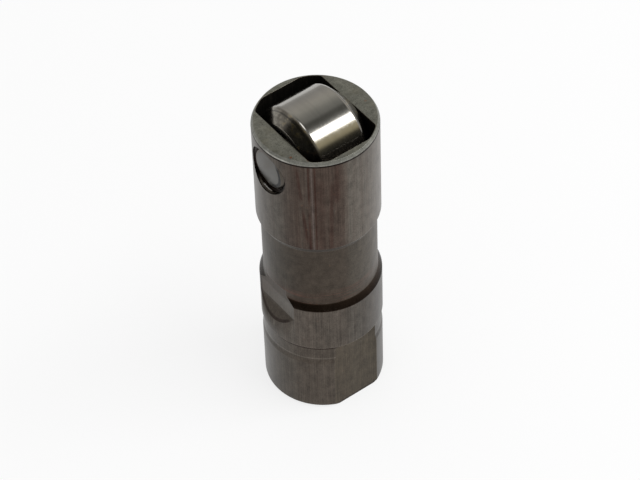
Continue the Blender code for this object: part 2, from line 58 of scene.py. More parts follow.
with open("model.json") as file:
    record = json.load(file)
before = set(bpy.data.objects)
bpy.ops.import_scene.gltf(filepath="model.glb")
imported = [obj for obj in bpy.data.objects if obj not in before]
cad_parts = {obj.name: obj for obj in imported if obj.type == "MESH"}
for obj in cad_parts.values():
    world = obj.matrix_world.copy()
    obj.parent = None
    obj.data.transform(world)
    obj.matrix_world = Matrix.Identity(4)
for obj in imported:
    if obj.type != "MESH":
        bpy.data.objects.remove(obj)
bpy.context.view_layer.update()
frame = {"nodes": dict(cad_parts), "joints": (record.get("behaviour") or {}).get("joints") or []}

MM = 0.001
TAU = 2 * math.pi
ALONG_X = Matrix.Rotation(TAU / 4, 4, "Y")  # lays what stands along Z down along X
SHARP = math.radians(32)  # edges that turn more than this are shaded as edges
WELD, SLIVER = 1e-7, 1e-6  # vertices nearer than this become one, when spun and after a cut
SOFT = 0.05 * MM  # over which one surface's finish gives way to the next
STAIN_AND_REFLECTION_SIDE = math.radians(-36)  # azimuth of the body's brown side, with stain and painted reflection on it
DARK_SIDE = math.radians(-42)  # azimuth of the dark half of the room that metal mirrors
LAMP_SIDE = Vector((0.43, -0.405, 0.81)).normalized()  # from the rim to the soft box
OVERHEAD = Vector((-0.22, 0.10, 0.97))  # to the panel in the mirrored room's ceiling

# Corners of the CAD nodes' boxes, and heights that follow from them
_, BODY_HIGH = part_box("lifter_body")
WHEEL_LOW, WHEEL_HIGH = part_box("roller_wheel")
PIN_LOW, PIN_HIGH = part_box("roller_pin")
RING_LOW, RING_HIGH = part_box("retaining_ring")
SEAT_LOW, SEAT_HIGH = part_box("pushrod_seat")
DISC_LOW, DISC_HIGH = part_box("metering_disc")
PLUNGER_LOW, PLUNGER_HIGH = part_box("plunger")
BALL_LOW, BALL_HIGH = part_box("check_ball")
RETAINER_LOW, RETAINER_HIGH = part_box("check_retainer")
CHECK_SPRING_LOW, CHECK_SPRING_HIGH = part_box("check_spring")
SPRING_LOW, SPRING_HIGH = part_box("plunger_spring")
AXLE_Z = (WHEEL_LOW.z + WHEEL_HIGH.z) / 2
BALL_Z = (BALL_LOW.z + BALL_HIGH.z) / 2
NEEDLES = sorted(name for name in frame["nodes"] if name.startswith("needle_"))


def towards(azimuth, elevation):
    """Direction from the lifter to what stands round it at an azimuth, as the camera does."""
    return Vector((math.sin(azimuth) * math.cos(elevation), -math.cos(azimuth) * math.cos(elevation),
                   math.sin(elevation)))


def length(name, description, size):
    """A length that the user can change. Its default is in metres."""
    return FloatProperty(name=name, description=description, default=size, min=0.0,
                         unit="LENGTH", subtype="DISTANCE", precision=6)


def angle(name, description, degrees):
    return FloatProperty(name=name, description=description, default=math.radians(degrees),
                         unit="ROTATION", subtype="ANGLE")


def facets(description, count):
    return IntProperty(name="Facets", description=description, default=count, min=12)


def colour(name, description, rgb):
    return FloatVectorProperty(name=name, description=description, default=rgb, size=3,
                               min=0.0, max=1.0, subtype="COLOR")


class BodySizes(bpy.types.PropertyGroup):
    """Sizes of the turned and ground body."""
    radius: length("Radius", "Ground head and guide band", BODY_HIGH.x)
    height: length("Height", "From the end face to the rim", BODY_HIGH.z)
    head: length("Head", "Ground head, down from the rim", 20.40 * MM)
    waist: length("Waist", "Oil waist between head and band", 15.75 * MM)
    waist_depth: length("Waist depth", "How deep the waist is turned", 0.75 * MM)
    taper: length("Taper", "Height of the cone at each end of the waist", 1.25 * MM)
    band: length("Band", "Length of the guide band", 9.70 * MM)
    relief: length("Relief", "Length of the grinding relief", 3.30 * MM)
    relief_depth: length("Relief depth", "How deep the relief is", 0.22 * MM)
    skirt_depth: length("Skirt depth", "How far the skirt is ground under the band", 0.08 * MM)
    rim_chamfer: length("Rim chamfer", "Chamfer round the rim", 0.40 * MM)
    rim_drop: length("Rim drop", "How far the rim's chamfer comes down", 0.70 * MM)
    end_chamfer: length("End chamfer", "Chamfer round the end face", 0.35 * MM)
    edge: length("Broken edge", "Rounding of the machined edges", 0.07 * MM)
    flat_depth: length("Guide flat", "Depth of each guide flat", 1.15 * MM)
    notch_depth: length("Notch depth", "Depth of the oil notch", 1.15 * MM)
    notch_rise: length("Notch rise", "The notch's top above the band", 2.50 * MM)
    notch_drop: length("Notch drop", "Where the notch's ramp starts, under the band's top", 3.15 * MM)
    notch_ramp: angle("Notch ramp", "Ramp measured from the lifter's axis", 22.4)
    oil_hole: length("Oil hole", "Radius of the oil hole in the waist", 1.20 * MM)
    oil_hole_rise: length("Oil hole rise", "Height of the oil hole over the waist's foot", 1.60 * MM)
    pocket_wall: length("Pocket wall", "Thinnest wall, at the pocket's corners", 0.60 * MM)
    end_wall: length("End wall", "Wall in the rolling direction", 1.40 * MM)
    ear: length("Ear", "Wall that carries the pin", 3.90 * MM)
    pocket_edge: length("Pocket edge", "Rounding of the pocket's edge", 0.12 * MM)
    pocket_corner: length("Pocket corner", "Rounding of the pocket's upright corners", 0.30 * MM)
    pocket_floor: length("Pocket floor", "Gap between the roller and the pocket's floor", 0.90 * MM)
    web: length("Web", "Wall between the pocket and the plunger's bore", 3.10 * MM)
    bore_wall: length("Bore wall", "Wall round the plunger's bore", 2.80 * MM)
    mouth_chamfer: length("Mouth chamfer", "Chamfer at the bore's mouth", 0.45 * MM)
    groove_depth: length("Ring groove", "Depth of the ring's groove", 0.55 * MM)
    groove_play: length("Ring play", "Gap on each side of the ring in its groove", 0.10 * MM)
    counterbore: length("Counterbore", "How far the counterbore is wider than the pin", 0.47 * MM)
    counterbore_depth: length("Counterbore depth", "Below the body's surface", 1.20 * MM)
    pin_fit: length("Pin fit", "Radial gap of the pin in the ears", 0.02 * MM)
    sides: facets("Facets round the body", 360)


class RollerSizes(bpy.types.PropertyGroup):
    """Sizes of the roller, its needles and its pin."""
    radius: length("Radius", "Roller's tread", (WHEEL_HIGH.z - WHEEL_LOW.z) / 2)
    half_width: length("Half width", "Half the roller's width over its hubs", WHEEL_HIGH.x)
    shoulder: length("Shoulder", "Width of the tapered shoulder", 1.95 * MM)
    shoulder_drop: length("Shoulder drop", "How far the shoulder falls", 2.30 * MM)
    shoulder_round: length("Shoulder rounding", "Rounding between tread and shoulder", 0.38 * MM)
    wall: length("Wall", "Between the tread and the needles' track", 3.35 * MM)
    bore_chamfer: length("Bore chamfer", "Chamfer at the roller's bore", 0.25 * MM)
    pin_radius: length("Pin radius", "The fixed pin", (PIN_HIGH.z - PIN_LOW.z) / 2)
    pin_half: length("Pin half length", "Half the pin's length", PIN_HIGH.x)
    pin_chamfer: length("Pin chamfer", "Chamfer at the pin's ends", 0.45 * MM)
    needle_radius: length("Needle radius", "One needle", 0.80 * MM)
    needle_half: length("Needle half length", "Half a needle's length", 5.95 * MM)
    bore_round: length("Bore rounding", "Rounding of the bore's chamfer", 0.05 * MM)
    hub_round: length("Hub rounding", "Rounding between shoulder and hub", 0.12 * MM)
    pin_round: length("Pin rounding", "Rounding of the pin's chamfer", 0.10 * MM)
    crown: length("Crown", "Rounding of a needle's ends", 0.28 * MM)
    # The pin's end: a patina ring outside this radius, and along it a dark arc of painted shade on one
    # side
    shade_arc: length("Stamp", "Radius of the punch's mark on the pin's end", 3.082 * MM)
    sides: facets("Facets round the roller", 288)
    pin_sides: facets("Facets round the pin", 128)
    needle_sides: facets("Facets round a needle", 32)


class PlungerSizes(bpy.types.PropertyGroup):
    """Sizes of the plunger unit and its valve."""
    cup_radius: length("Cup radius", "Cup for the pushrod's ball end", 4.05 * MM)
    cup_depth: length("Cup depth", "Depth of the cup", 3.70 * MM)
    seat_hole: length("Seat hole", "Radius of the oil hole in the cup", 0.80 * MM)
    seat_chamfer: length("Seat chamfer", "Chamfer round the seat", 0.35 * MM)
    disc_hole: length("Disc hole", "Radius of the hole in the metering disc", 0.55 * MM)
    wall: length("Wall", "Plunger's wall", 2.86 * MM)
    plunger_web: length("Web", "Plunger's floor under the ball", 3.00 * MM)
    valve_hole: length("Valve hole", "Radius of the hole under the ball", 1.30 * MM)
    recess: length("Recess", "Depth of the recess for the disc", 0.95 * MM)
    groove_low: length("Groove foot", "Height of the oil groove's lower edge", 23.30 * MM)
    groove_high: length("Groove top", "Height of the oil groove's upper edge", 29.80 * MM)
    groove_depth: length("Groove depth", "Depth of the oil groove", 0.90 * MM)
    port: length("Port", "Radius of the oil port", 1.00 * MM)
    edge: length("Broken edge", "Rounding of the machined edges", 0.10 * MM)
    sheet: length("Sheet", "Thickness of the retainer's sheet", 0.40 * MM)
    hat: length("Hat", "Inner radius of the retainer's hat", 2.30 * MM)
    vent: length("Vent", "Radius of the retainer's vent", 0.60 * MM)
    window: length("Window", "Width of the retainer's windows", 1.60 * MM)
    ring_wire: length("Ring wire", "Radius of the retaining ring's wire", (RING_HIGH.z - RING_LOW.z) / 2)
    ring_gap: angle("Ring gap", "Open part of the retaining ring", 28)
    spring_wire: length("Spring wire", "Radius of the plunger spring's wire", 0.45 * MM)
    spring_coil: length("Spring coil", "Radius of the plunger spring's coil", 5.60 * MM)
    spring_turns: FloatProperty(name="Spring turns", description="Turns of the plunger spring",
                                default=5.0, min=2.0)
    check_wire: length("Check wire", "Radius of the check spring's wire", 0.14 * MM)
    check_coil: length("Check coil", "Radius of the check spring's coil on the ball", 1.15 * MM)
    check_spread: length("Check spread", "How much wider the coil is under the hat", 0.50 * MM)
    chamfer: length("Chamfer", "Chamfer at the plunger's ends", 0.40 * MM)
    groove_round: length("Groove rounding", "Rounding in the groove's corners", 0.20 * MM)
    fine_edge: length("Fine edge", "Rounding of the seat's and the hat's edges", 0.08 * MM)
    hat_bend: length("Hat bend", "Rounding between the hat's side and top", 0.35 * MM)
    hat_foot: length("Hat foot", "Rounding between the hat and its flange", 0.20 * MM)
    window_margin: length("Window margin", "Sheet left above and below a window", 0.45 * MM)
    sides: facets("Facets round the plunger and its seat", 192)
    small_sides: facets("Facets round the disc and the hat", 128)
    travel: length("Travel", "Travel of the plunger unit", 3.50 * MM)
    check_lift: length("Check lift", "Travel of the check ball", 0.30 * MM)


class SteelColours(bpy.types.PropertyGroup):
    """Colours of the steels and of what time has left on them."""
    ground: colour("Ground steel", "Ground outside of the body", (0.118, 0.104, 0.088))
    # Darkened, this colour also paints shade lines and the counterbore's shade; the front's brown is
    # partly painted reflection
    stain: colour("Heat stain", "Brown stain on the body's front", (0.060, 0.038, 0.030))
    turned: colour("Turned steel", "Waist, as turned", (0.064, 0.050, 0.039))
    top: colour("Rim", "Ground face of the rim", (0.262, 0.262, 0.230))
    pocket: colour("Pocket", "Oiled wall inside the pocket", (0.045, 0.041, 0.036))
    rust: colour("Rust", "Small rust spots", (0.210, 0.080, 0.030))
    roller: colour("Roller", "Polished roller", (0.400, 0.385, 0.355))
    pin: colour("Pin", "Ground end of the pin", (0.108, 0.105, 0.097))
    bearing: colour("Bearing steel", "Needles and check ball", (0.560, 0.555, 0.540))
    wire: colour("Ring wire", "Blackened retaining ring", (0.055, 0.054, 0.055))
    seat: colour("Seat", "Hardened pushrod seat", (0.210, 0.198, 0.180))
    plunger: colour("Plunger", "Ground plunger", (0.400, 0.390, 0.370))
    sheet: colour("Sheet", "Pressed sheet steel", (0.330, 0.310, 0.270))
    spring: colour("Spring wire", "Oil-tempered spring wire", (0.190, 0.175, 0.155))


class StudioSettings(bpy.types.PropertyGroup):
    """The studio's floor, lamp and sky."""
    floor: colour("Floor", "Pale floor", (0.88, 0.88, 0.88))
    floor_half: length("Floor size", "Half the floor's side", 4.0)
    warm: colour("Warm reflection", "Colour of the room beside the lamp", (0.62, 0.55, 0.36))
    lamp: FloatProperty(name="Lamp", description="Strength of the soft box", default=0.95, min=0.0,
                        unit="POWER")
    lamp_length: length("Lamp length", "Long side of the soft box", 0.40)
    lamp_width: length("Lamp width", "Short side of the soft box", 0.13)
    lamp_distance: length("Lamp distance", "From the soft box to the rim's middle", 0.46)
    sky: FloatProperty(name="Sky", description="Strength of the soft light from all sides",
                       default=0.78, min=0.0)
    lens: FloatProperty(name="Lens", description="Focal length of the camera", default=153.9,
                        min=10.0, unit="CAMERA")
    azimuth: angle("Azimuth", "Where the camera stands round the lifter", -35.5)
    elevation: angle("Elevation", "How high the camera looks down from", 47.24)
    roll: angle("Roll", "Turn of the camera about its own line of sight", -2.15)
    distance: length("Distance", "From the camera to the lifter's middle", 472.2 * MM)
    aim: length("Aim", "Height on the lifter's axis that the camera stands over", 30.8 * MM)
    tilt: length("Tilt", "How far above that height the camera looks", 0.9 * MM)


# Meshes


def rounded(bm, geom, radius, segments, affect):
    """Rounds the corners of an outline, with VERTICES, or the edges of a solid, with EDGES."""
    bmesh.ops.bevel(bm, geom=geom, offset=radius, offset_type="OFFSET", segments=segments,
                    profile=0.5, affect=affect, material=-1)


def spun(profile, sides, closed=False, segments=3):
    """Turns a profile about Z. A point is (radius, height) or (radius, height, rounding)."""
    bm = bmesh.new()
    corners = [bm.verts.new((point[0], 0, point[1])) for point in profile]
    for pair in zip(corners, corners[1:]):
        bm.edges.new(pair)
    if closed:
        bm.edges.new((corners[-1], corners[0]))
    for corner, point in zip(corners, profile):
        if len(point) == 3:
            rounded(bm, [corner], point[2], segments, "VERTICES")
    bmesh.ops.spin(bm, geom=bm.verts[:] + bm.edges[:], cent=(0, 0, 0), axis=(0, 0, 1),
                   angle=TAU, steps=sides, use_merge=True)
    bmesh.ops.remove_doubles(bm, verts=bm.verts, dist=WELD)
    bmesh.ops.recalc_face_normals(bm, faces=bm.faces)
    return bm


def both_ends(half):
    """A whole profile from its upper half."""
    return [(point[0], -point[1], *point[2:]) for point in reversed(half)] + half


def moved(bm, matrix):
    bmesh.ops.transform(bm, matrix=matrix, verts=bm.verts)
    return bm


def block(low, high):
    """A box between two corners."""
    bm = bmesh.new()
    bmesh.ops.create_cube(bm, size=1.0)
    low, high = Vector(low), Vector(high)
    return moved(bm, Matrix.Translation((low + high) / 2) @ Matrix.Diagonal((*(high - low), 1)))


def bent_to_cylinder(bm, radius, above):
    """Lets the part of a cutter along X that lies above a height follow a cylinder about Z."""
    for vert in bm.verts:
        if abs(vert.co.x) > above:
            drop = radius - math.sqrt(max(radius ** 2 - vert.co.y ** 2, 0))
            vert.co.x -= math.copysign(drop, vert.co.x)
    return bm


def added(name, data):
    """A new object in the scene."""
    obj = bpy.data.objects.new(name, data)
    bpy.context.scene.collection.objects.link(obj)
    return obj


def drafted(bm, name="draft"):
    """A new object with bm, which is used up, as its mesh."""
    mesh = bpy.data.meshes.new(name)
    bm.to_mesh(mesh)
    bm.free()
    return added(name, mesh)


def evaluated(obj):
    """The object's mesh with its modifiers applied."""
    bpy.context.view_layer.update()
    graph = bpy.context.evaluated_depsgraph_get()
    return bpy.data.meshes.new_from_object(obj.evaluated_get(graph))


def remove(*objects):
    """Deletes drafts and their meshes."""
    for obj in objects:
        mesh = obj.data
        bpy.data.objects.remove(obj)
        bpy.data.meshes.remove(mesh)


def cut(bm, cutters):
    """Takes the cutters' solids out of bm."""
    target = drafted(bm)
    tools = [drafted(cutter) for cutter in cutters]
    for tool in tools:
        modifier = target.modifiers.new("cut", "BOOLEAN")
        modifier.operation = "DIFFERENCE"
        modifier.solver = "EXACT"
        modifier.object = tool
    mesh = evaluated(target)
    remove(target, *tools)
    result = bmesh.new()
    result.from_mesh(mesh)
    bpy.data.meshes.remove(mesh)
    bmesh.ops.remove_doubles(result, verts=result.verts, dist=SLIVER)
    bmesh.ops.dissolve_degenerate(result, edges=result.edges, dist=SLIVER)
    return result


def piece(name, bm, material, body, nodes):
    """Finishes a piece: its mesh, its shading, its material and its place in the frame."""
    if not bm.faces:
        raise RuntimeError(f"{name} has come out empty")
    bmesh.ops.recalc_face_normals(bm, faces=bm.faces)
    draft = drafted(bm)
    draft.data.shade_smooth()
    draft.data.set_sharp_from_angle(angle=SHARP)
    draft.modifiers.new("normals", "WEIGHTED_NORMAL").keep_sharp = True
    mesh = evaluated(draft)
    remove(draft)
    mesh.name = name
    mesh.materials.clear()
    mesh.materials.append(material)
    obj = added(name, mesh)
    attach(obj, body)
    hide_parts(*nodes)
    return obj


def wire(section_r, start, stages, sides=20):
    """A round wire wound about Z from a point on +X. A stage is (turn, rise, steps)."""
    bm = bmesh.new()
    bmesh.ops.create_circle(bm, radius=section_r, segments=sides)
    end = bm.verts[:] + bm.edges[:]
    moved(bm, Matrix.Translation(start) @ Matrix.Rotation(TAU / 4, 4, "X"))
    for turn, rise, steps in stages:
        end = bmesh.ops.spin(bm, geom=end, cent=(0, 0, 0), axis=(0, 0, 1),
                             dvec=(0, 0, rise / steps), angle=turn, steps=steps)["geom_last"]
    return bm


def open_edges(bm):
    return [edge for edge in bm.edges if edge.is_boundary]


def only_verts(geom):
    return [part for part in geom if isinstance(part, bmesh.types.BMVert)]


def closed_ends(bm):
    """Caps a wire's ends and rounds the caps' rims."""
    bmesh.ops.holes_fill(bm, edges=open_edges(bm), sides=0)
    caps = [face for face in bm.faces if len(face.verts) > 4]
    rims = [edge for edge in bm.edges if any(face in caps for face in edge.link_faces)]
    rounded(bm, rims, min(edge.calc_length() for edge in rims) / 2, 2, "EDGES")
    return bm


# Materials


def math_node(operation, reflected=False):
    """A method that joins a field with a number or another field through a Math node."""
    def joined(self, other):
        first, second = (other, self) if reflected else (self, other)
        return self.bench.node("ShaderNodeMath", {"operation": operation}, {0: first, 1: second})
    return joined


class Field:
    """A value that varies over a surface: a socket in a node tree that sums can be done with."""

    def __init__(self, bench, socket):
        self.bench, self.socket = bench, socket

    __add__, __radd__ = math_node("ADD"), math_node("ADD", reflected=True)
    __sub__, __rsub__ = math_node("SUBTRACT"), math_node("SUBTRACT", reflected=True)
    __mul__, __rmul__ = math_node("MULTIPLY"), math_node("MULTIPLY", reflected=True)
    __truediv__, __rtruediv__ = math_node("DIVIDE"), math_node("DIVIDE", reflected=True)
    __pow__, __rpow__ = math_node("POWER"), math_node("POWER", reflected=True)
    greatest, least = math_node("MAXIMUM"), math_node("MINIMUM")

    def __abs__(self):
        return self.bench.node("ShaderNodeMath", {"operation": "ABSOLUTE"}, {0: self})


class Bench:
    """A node tree, with the few patterns that the steels are made of."""

    def __init__(self, tree):
        self.tree = tree

    def on_surface(self):
        """Reads where on the piece a point lies and which way it faces."""
        self.place = self.node("ShaderNodeTexCoord", output="Object")
        self.x, self.y, self.z = self.parts(self.place)
        self.nx, self.ny, self.nz = self.parts(self.node("ShaderNodeTexCoord", output="Normal"))
        return self

    def node(self, kind, settings=None, values=None, output=0):
        """Adds a node: its settings first, then its sockets' values or links."""
        made = self.tree.nodes.new(kind)
        for key, value in (settings or {}).items():
            if key == "stops":
                ramp = made.color_ramp
                while len(ramp.elements) < len(value):
                    ramp.elements.new(0.5)
                for element, (position, rgb) in zip(ramp.elements, value):
                    element.position, element.color = position, (*rgb, 1)
            else:
                setattr(made, key, value)
        for key, value in (values or {}).items():
            if isinstance(value, Field):
                self.tree.links.new(value.socket, made.inputs[key])
            else:
                made.inputs[key].default_value = value
        return Field(self, made.outputs[output]) if made.outputs else None

    def parts(self, vector):
        """A vector's three parts."""
        split = self.node("ShaderNodeSeparateXYZ", values={0: vector})
        return [Field(self, out) for out in split.socket.node.outputs]

    def along(self, direction, vector=None):
        """How far the place, or another vector, reaches in a direction."""
        return self.node("ShaderNodeVectorMath", {"operation": "DOT_PRODUCT"},
                         {0: vector or self.place, 1: direction}, output="Value")

    def scaled(self, scale, vector=None, shift=(0, 0, 0)):
        """The place times a scale for each axis, in features to the metre."""
        return self.node("ShaderNodeVectorMath", {"operation": "MULTIPLY_ADD"},
                         {0: vector or self.place, 1: scale, 2: shift})

    def noise(self, scale, detail, rough, shift=(0, 0, 0), vector=None):
        """A cloudy pattern from 0 to 1, stretched by its scale."""
        return self.node("ShaderNodeTexNoise", None, {
            "Vector": self.scaled(scale, vector, shift), "Scale": 1.0, "Detail": detail,
            "Roughness": rough})

    def spots(self, scale, shift=(0, 0, 0)):
        """Distance to the nearest of many scattered points, in cells."""
        return self.node("ShaderNodeTexVoronoi", None,
                         {"Vector": self.scaled(scale, None, shift), "Scale": 1.0})

    def step(self, value, low, high):
        """0 below low, 1 above high, and smooth between. low may be the greater."""
        return self.node("ShaderNodeMapRange", {"interpolation_type": "SMOOTHSTEP"},
                         {"Value": value, "From Min": low, "From Max": high})

    def between(self, value, low, high, soft=SOFT):
        """1 from low to high, and 0 beyond soft outside them."""
        return self.step(value, low - soft, low) * self.step(value, high + soft, high)

    def mix(self, factor, first, second):
        """Two colours mixed. A colour is three numbers or a field."""
        first, second = (c if isinstance(c, Field) else (*c, 1) for c in (first, second))
        return self.node("ShaderNodeMix", {"data_type": "RGBA", "clamp_factor": True},
                         {0: factor, 6: first, 7: second}, output=2)

    def layered(self, base, *layers):
        """Lays colours over each other, each as strongly as its own factor says."""
        for factor, rgb in layers:
            base = self.mix(factor, base, rgb)
        return base

    def shaded(self, rgb, factor):
        """A colour made lighter or darker by a field."""
        rgb = rgb if isinstance(rgb, Field) else tuple(rgb)
        return self.node("ShaderNodeVectorMath", {"operation": "SCALE"}, {0: rgb, "Scale": factor})

    def scratches(self, scale, width, shift=(0, 0, 0)):
        """Thin lines where a stretched noise passes its middle value."""
        return self.step(abs(self.noise(scale, 1.0, 0.4, shift) - 0.5), width, 0.0)

    def bump(self, height, depth):
        """A normal from a height, of which 1 stands for depth in metres."""
        return self.node("ShaderNodeBump", None, {"Height": height, "Distance": depth, "Strength": 1.0})

    def worn_edge(self, radius):
        """1 on edges sharper than the radius, 0 on flat ground."""
        soft = self.node("ShaderNodeBevel", {"samples": 6}, {"Radius": radius})
        true = self.node("ShaderNodeNewGeometry", output="Normal")
        return self.step(self.along(true, soft), 0.995, 0.93)

    def finish(self, base, roughness, normal, metallic=1.0):
        """Joins the finish to a shader and the shader to the material's output."""
        shader = self.node("ShaderNodeBsdfPrincipled", None, {
            "Base Color": base, "Roughness": roughness, "Metallic": metallic, "Normal": normal})
        self.node("ShaderNodeOutputMaterial", None, {"Surface": shader})


def emptied(owner):
    """A bench for the node tree of a material or a world, with nothing on it yet."""
    owner.use_nodes = True
    owner.node_tree.nodes.clear()
    return Bench(owner.node_tree)


def new_material(name):
    """A material, and the bench that it is made on."""
    material = bpy.data.materials.new(name)
    return material, emptied(material).on_surface()


def tinted(rgb, red, green=None, blue=None):
    """A colour made lighter or darker, as a whole or channel by channel."""
    factors = (red, green or red, blue or red)
    return tuple(min(1, channel * factor) for channel, factor in zip(rgb, factors))


def levels(sizes):
    """Heights of the head's foot, the band's top and foot, and the relief's foot."""
    head_foot = sizes.height - sizes.head
    band_top = head_foot - sizes.waist
    band_foot = band_top - sizes.band
    return head_foot, band_top, band_foot, band_foot - sizes.relief


# Upright streaks of painted reflection on the head's brown side. Millimetres for the middle, the lean
# over the head's height and the half width, then the strength, and the start and end from rim to foot.
REFLECTION_STREAKS = (
    (-1.42, 0.0, 0.30, 1.00, -0.10, 1.20), (-0.40, 0.0, 0.26, 0.90, -0.10, 1.20),
    (0.45, 0.0, 1.20, 0.35, 0.25, 1.10), (3.35, -0.3, 0.85, 0.60, -0.10, 0.40),
    (2.60, -0.6, 0.60, 0.60, 0.30, 1.10), (-3.45, 1.7, 0.42, 0.90, 0.15, 0.85))
# Colours of the painted highlights on the rim's chamfer and in the counterbore
CHAMFER_HIGHLIGHT, PAINTED_GLINT = (0.95, 0.93, 0.86), (0.95, 0.93, 0.90)


def body_zones(b, sizes, pin_radius):
    """The body's machined surfaces: each zone is 1 on its own surface and 0 elsewhere."""
    rim, radius = sizes.height, sizes.radius
    head_foot, band_top, band_foot, relief_foot = levels(sizes)
    out = (b.x ** 2 + b.y ** 2) ** 0.5
    zone = SimpleNamespace(out=out)

    # The rim's ground face, its chamfer, and on the chamfer a painted highlight line and a painted shade
    # line
    rim_foot, slope = rim - sizes.rim_drop, radius - sizes.rim_chamfer
    outside = b.step(out, slope - 2 * SOFT, slope - SOFT)
    zone.top = b.step(b.nz, 0.8, 0.95) * b.step(b.z, rim - 2 * SOFT, rim - SOFT)
    zone.chamfer = b.step(b.z, rim_foot, rim_foot + 2 * SOFT) * (1 - zone.top) * outside
    # A dark line of painted shade at the chamfer's foot
    zone.dark_chamfer = b.between(b.z, rim_foot - 4 * SOFT, rim_foot + SOFT) * outside
    # A pale line of painted highlight just above the shade line
    zone.pale_chamfer = b.between(b.z, rim_foot + 2 * SOFT, rim_foot + 5 * SOFT) * zone.chamfer

    # The pocket's walls, and all that lies in the plunger's bore
    pocket_out, ear = radius - sizes.pocket_wall, radius - sizes.ear
    below_pocket = 20 * MM
    zone.pocket = (b.step(out, pocket_out + 3 * SOFT, pocket_out + SOFT)
                   * b.between(b.z, rim - below_pocket, rim - 2 * SOFT)
                   * b.step(abs(b.x), ear + 4 * SOFT, ear + SOFT))
    zone.bore = (b.step(out, radius - 2 * MM, radius - 2.2 * MM)
                 * b.step(b.z, rim - 18 * MM, rim - 19 * MM))
    wall = 1 - zone.bore

    # The oil notch: its flat, its lower ramp and the dark line along its edge
    notch_x, notch_foot = radius - sizes.notch_depth, band_top - sizes.notch_drop
    ramp_x = notch_x + (notch_foot - b.z) * math.tan(sizes.notch_ramp)
    zone.ramp = (b.step(abs(b.x + ramp_x), SOFT, 0.5 * SOFT)
                 * b.between(b.z, notch_foot - 4 * MM, notch_foot, 0.02 * MM))
    zone.notch = (b.step(abs(b.x + notch_x), SOFT, 0.5 * SOFT)
                  * b.between(b.z, notch_foot, band_top + sizes.notch_rise, 0.02 * MM))
    zone.notch_edge = (zone.ramp.greatest(zone.notch)
                       * b.step(out, radius - 6 * SOFT, radius - 3 * SOFT)
                       * b.step(b.y - b.z + notch_foot, -3.5 * MM, -2.5 * MM))

    # The waist and what lies under it
    zone.waist = (b.step(out, radius - 0.1 * MM, radius - 0.3 * MM)
                  * b.between(b.z, band_top, head_foot) * wall)
    zone.taper = (b.between(b.z, band_top - SOFT, band_top + sizes.taper - SOFT)
                  * wall * (1 - zone.notch))
    zone.relief = b.between(b.z, relief_foot, band_foot) * wall
    zone.skirt = b.step(b.z, relief_foot + SOFT, relief_foot) * wall
    zone.flat = b.step(abs(b.ny), 0.985, 0.999) * b.step(b.z, band_foot + SOFT, band_foot)
    zone.coarse = zone.waist.greatest(zone.bore)

    # The wall of the counterbore round the pin's end
    from_pin = (b.y ** 2 + (b.z - AXLE_Z) ** 2) ** 0.5
    hole, wide = pin_radius + sizes.pin_fit, pin_radius + sizes.counterbore
    zone.hole_wall = (b.step(from_pin, wide + 0.13 * MM, wide + 0.03 * MM)
                      * b.step(from_pin, hole, hole + 0.04 * MM)
                      * b.step(abs(b.x), ear + 2 * SOFT, ear + 6 * SOFT))
    return zone


def body_patterns(b):
    """The patterns that the body's finish is made of, each from 0 to 1."""
    return SimpleNamespace(
        streak=b.noise((1300, 1300, 22), 3.0, 0.6),
        fine_streak=b.noise((5200, 5200, 90), 2.0, 0.5, shift=(7, 3, 0)),
        cloud=b.noise((230, 230, 130), 3.0, 0.55, shift=(3, 11, 5)),
        mottle=b.noise((750, 750, 520), 4.0, 0.6, shift=(9, 2, 4)),
        speckle=b.noise((5200, 5200, 5200), 3.0, 0.65),
        grind=b.noise((160, 160, 14000), 2.0, 0.6),
        turn=b.noise((70, 70, 5200), 3.0, 0.7),
        pits=b.step(b.spots((1900, 1900, 1900)), 0.16, 0.05))


def body_marks(b, sizes, zone, pattern):
    """Marks on the body: brown stain with painted reflection, and streaks of painted reflection, on its
    front; and what use has left: rust, worn edges, scratches.
    """
    rim, head_foot = sizes.height, levels(sizes)[0]
    across = b.along((math.cos(STAIN_AND_REFLECTION_SIDE), math.sin(STAIN_AND_REFLECTION_SIDE), 0))
    front = b.step(b.along(towards(STAIN_AND_REFLECTION_SIDE, 0)) / zone.out, 0.3, 0.6)
    ragged = (pattern.fine_streak - 0.5) * 0.3 * MM
    edge = across + ragged + (pattern.cloud - 0.5) * 1.2 * MM
    mark = SimpleNamespace(across=across, head=b.between(b.z, head_foot, rim, 0.2 * MM))
    # Brown stain on the front, partly painted reflection
    mark.stain = b.step(edge, 5.4 * MM, 4.0 * MM) * b.step(edge, -7.5 * MM, -3.5 * MM) * front

    # Upright streaks of painted reflection on the front
    fallen = (rim - b.z) / sizes.head
    streaks = 0.0
    for middle, lean, half_width, strength, start, end in REFLECTION_STREAKS:
        offset = abs(across - (middle * MM + lean * MM * fallen + ragged))
        streak = b.step(offset, half_width * MM, 0.15 * half_width * MM)
        streaks = streak * strength * b.between(fallen, start, end, 0.12) + streaks
    mark.streaks = streaks.least(1.0) * mark.head * front * b.step(pattern.cloud, 0.25, 0.5)
    # A pale upright line of painted reflection
    mark.pale_line = (b.step(abs(across + 0.90 * MM), 0.20 * MM, 0.06 * MM) * front
                      * b.between(b.z, head_foot - 5 * MM, rim - 0.8 * MM, MM))

    # Small rust spots, and one larger one on the ear's face
    spots = (b.step(b.spots((420, 420, 420), (0.37, 0.11, 0.71)), 0.13, 0.05)
             * b.step(pattern.speckle, 0.45, 0.6))
    from_spot = ((b.x + 8.58 * MM) ** 2 + (b.y + 4.79 * MM) ** 2) ** 0.5
    spot = b.step(from_spot, 0.34 * MM, 0.12 * MM) * b.step(pattern.speckle, 0.25, 0.5)
    mark.rust = spots * (zone.top + 0.25 * mark.stain) + spot * zone.top
    mark.worn = b.worn_edge(0.10 * MM) * (1 - zone.chamfer.greatest(zone.dark_chamfer))
    mark.hair = b.scratches((1700, 1700, 55), 0.010, (2, 5, 1)) * b.step(pattern.cloud, 0.42, 0.60)
    return mark


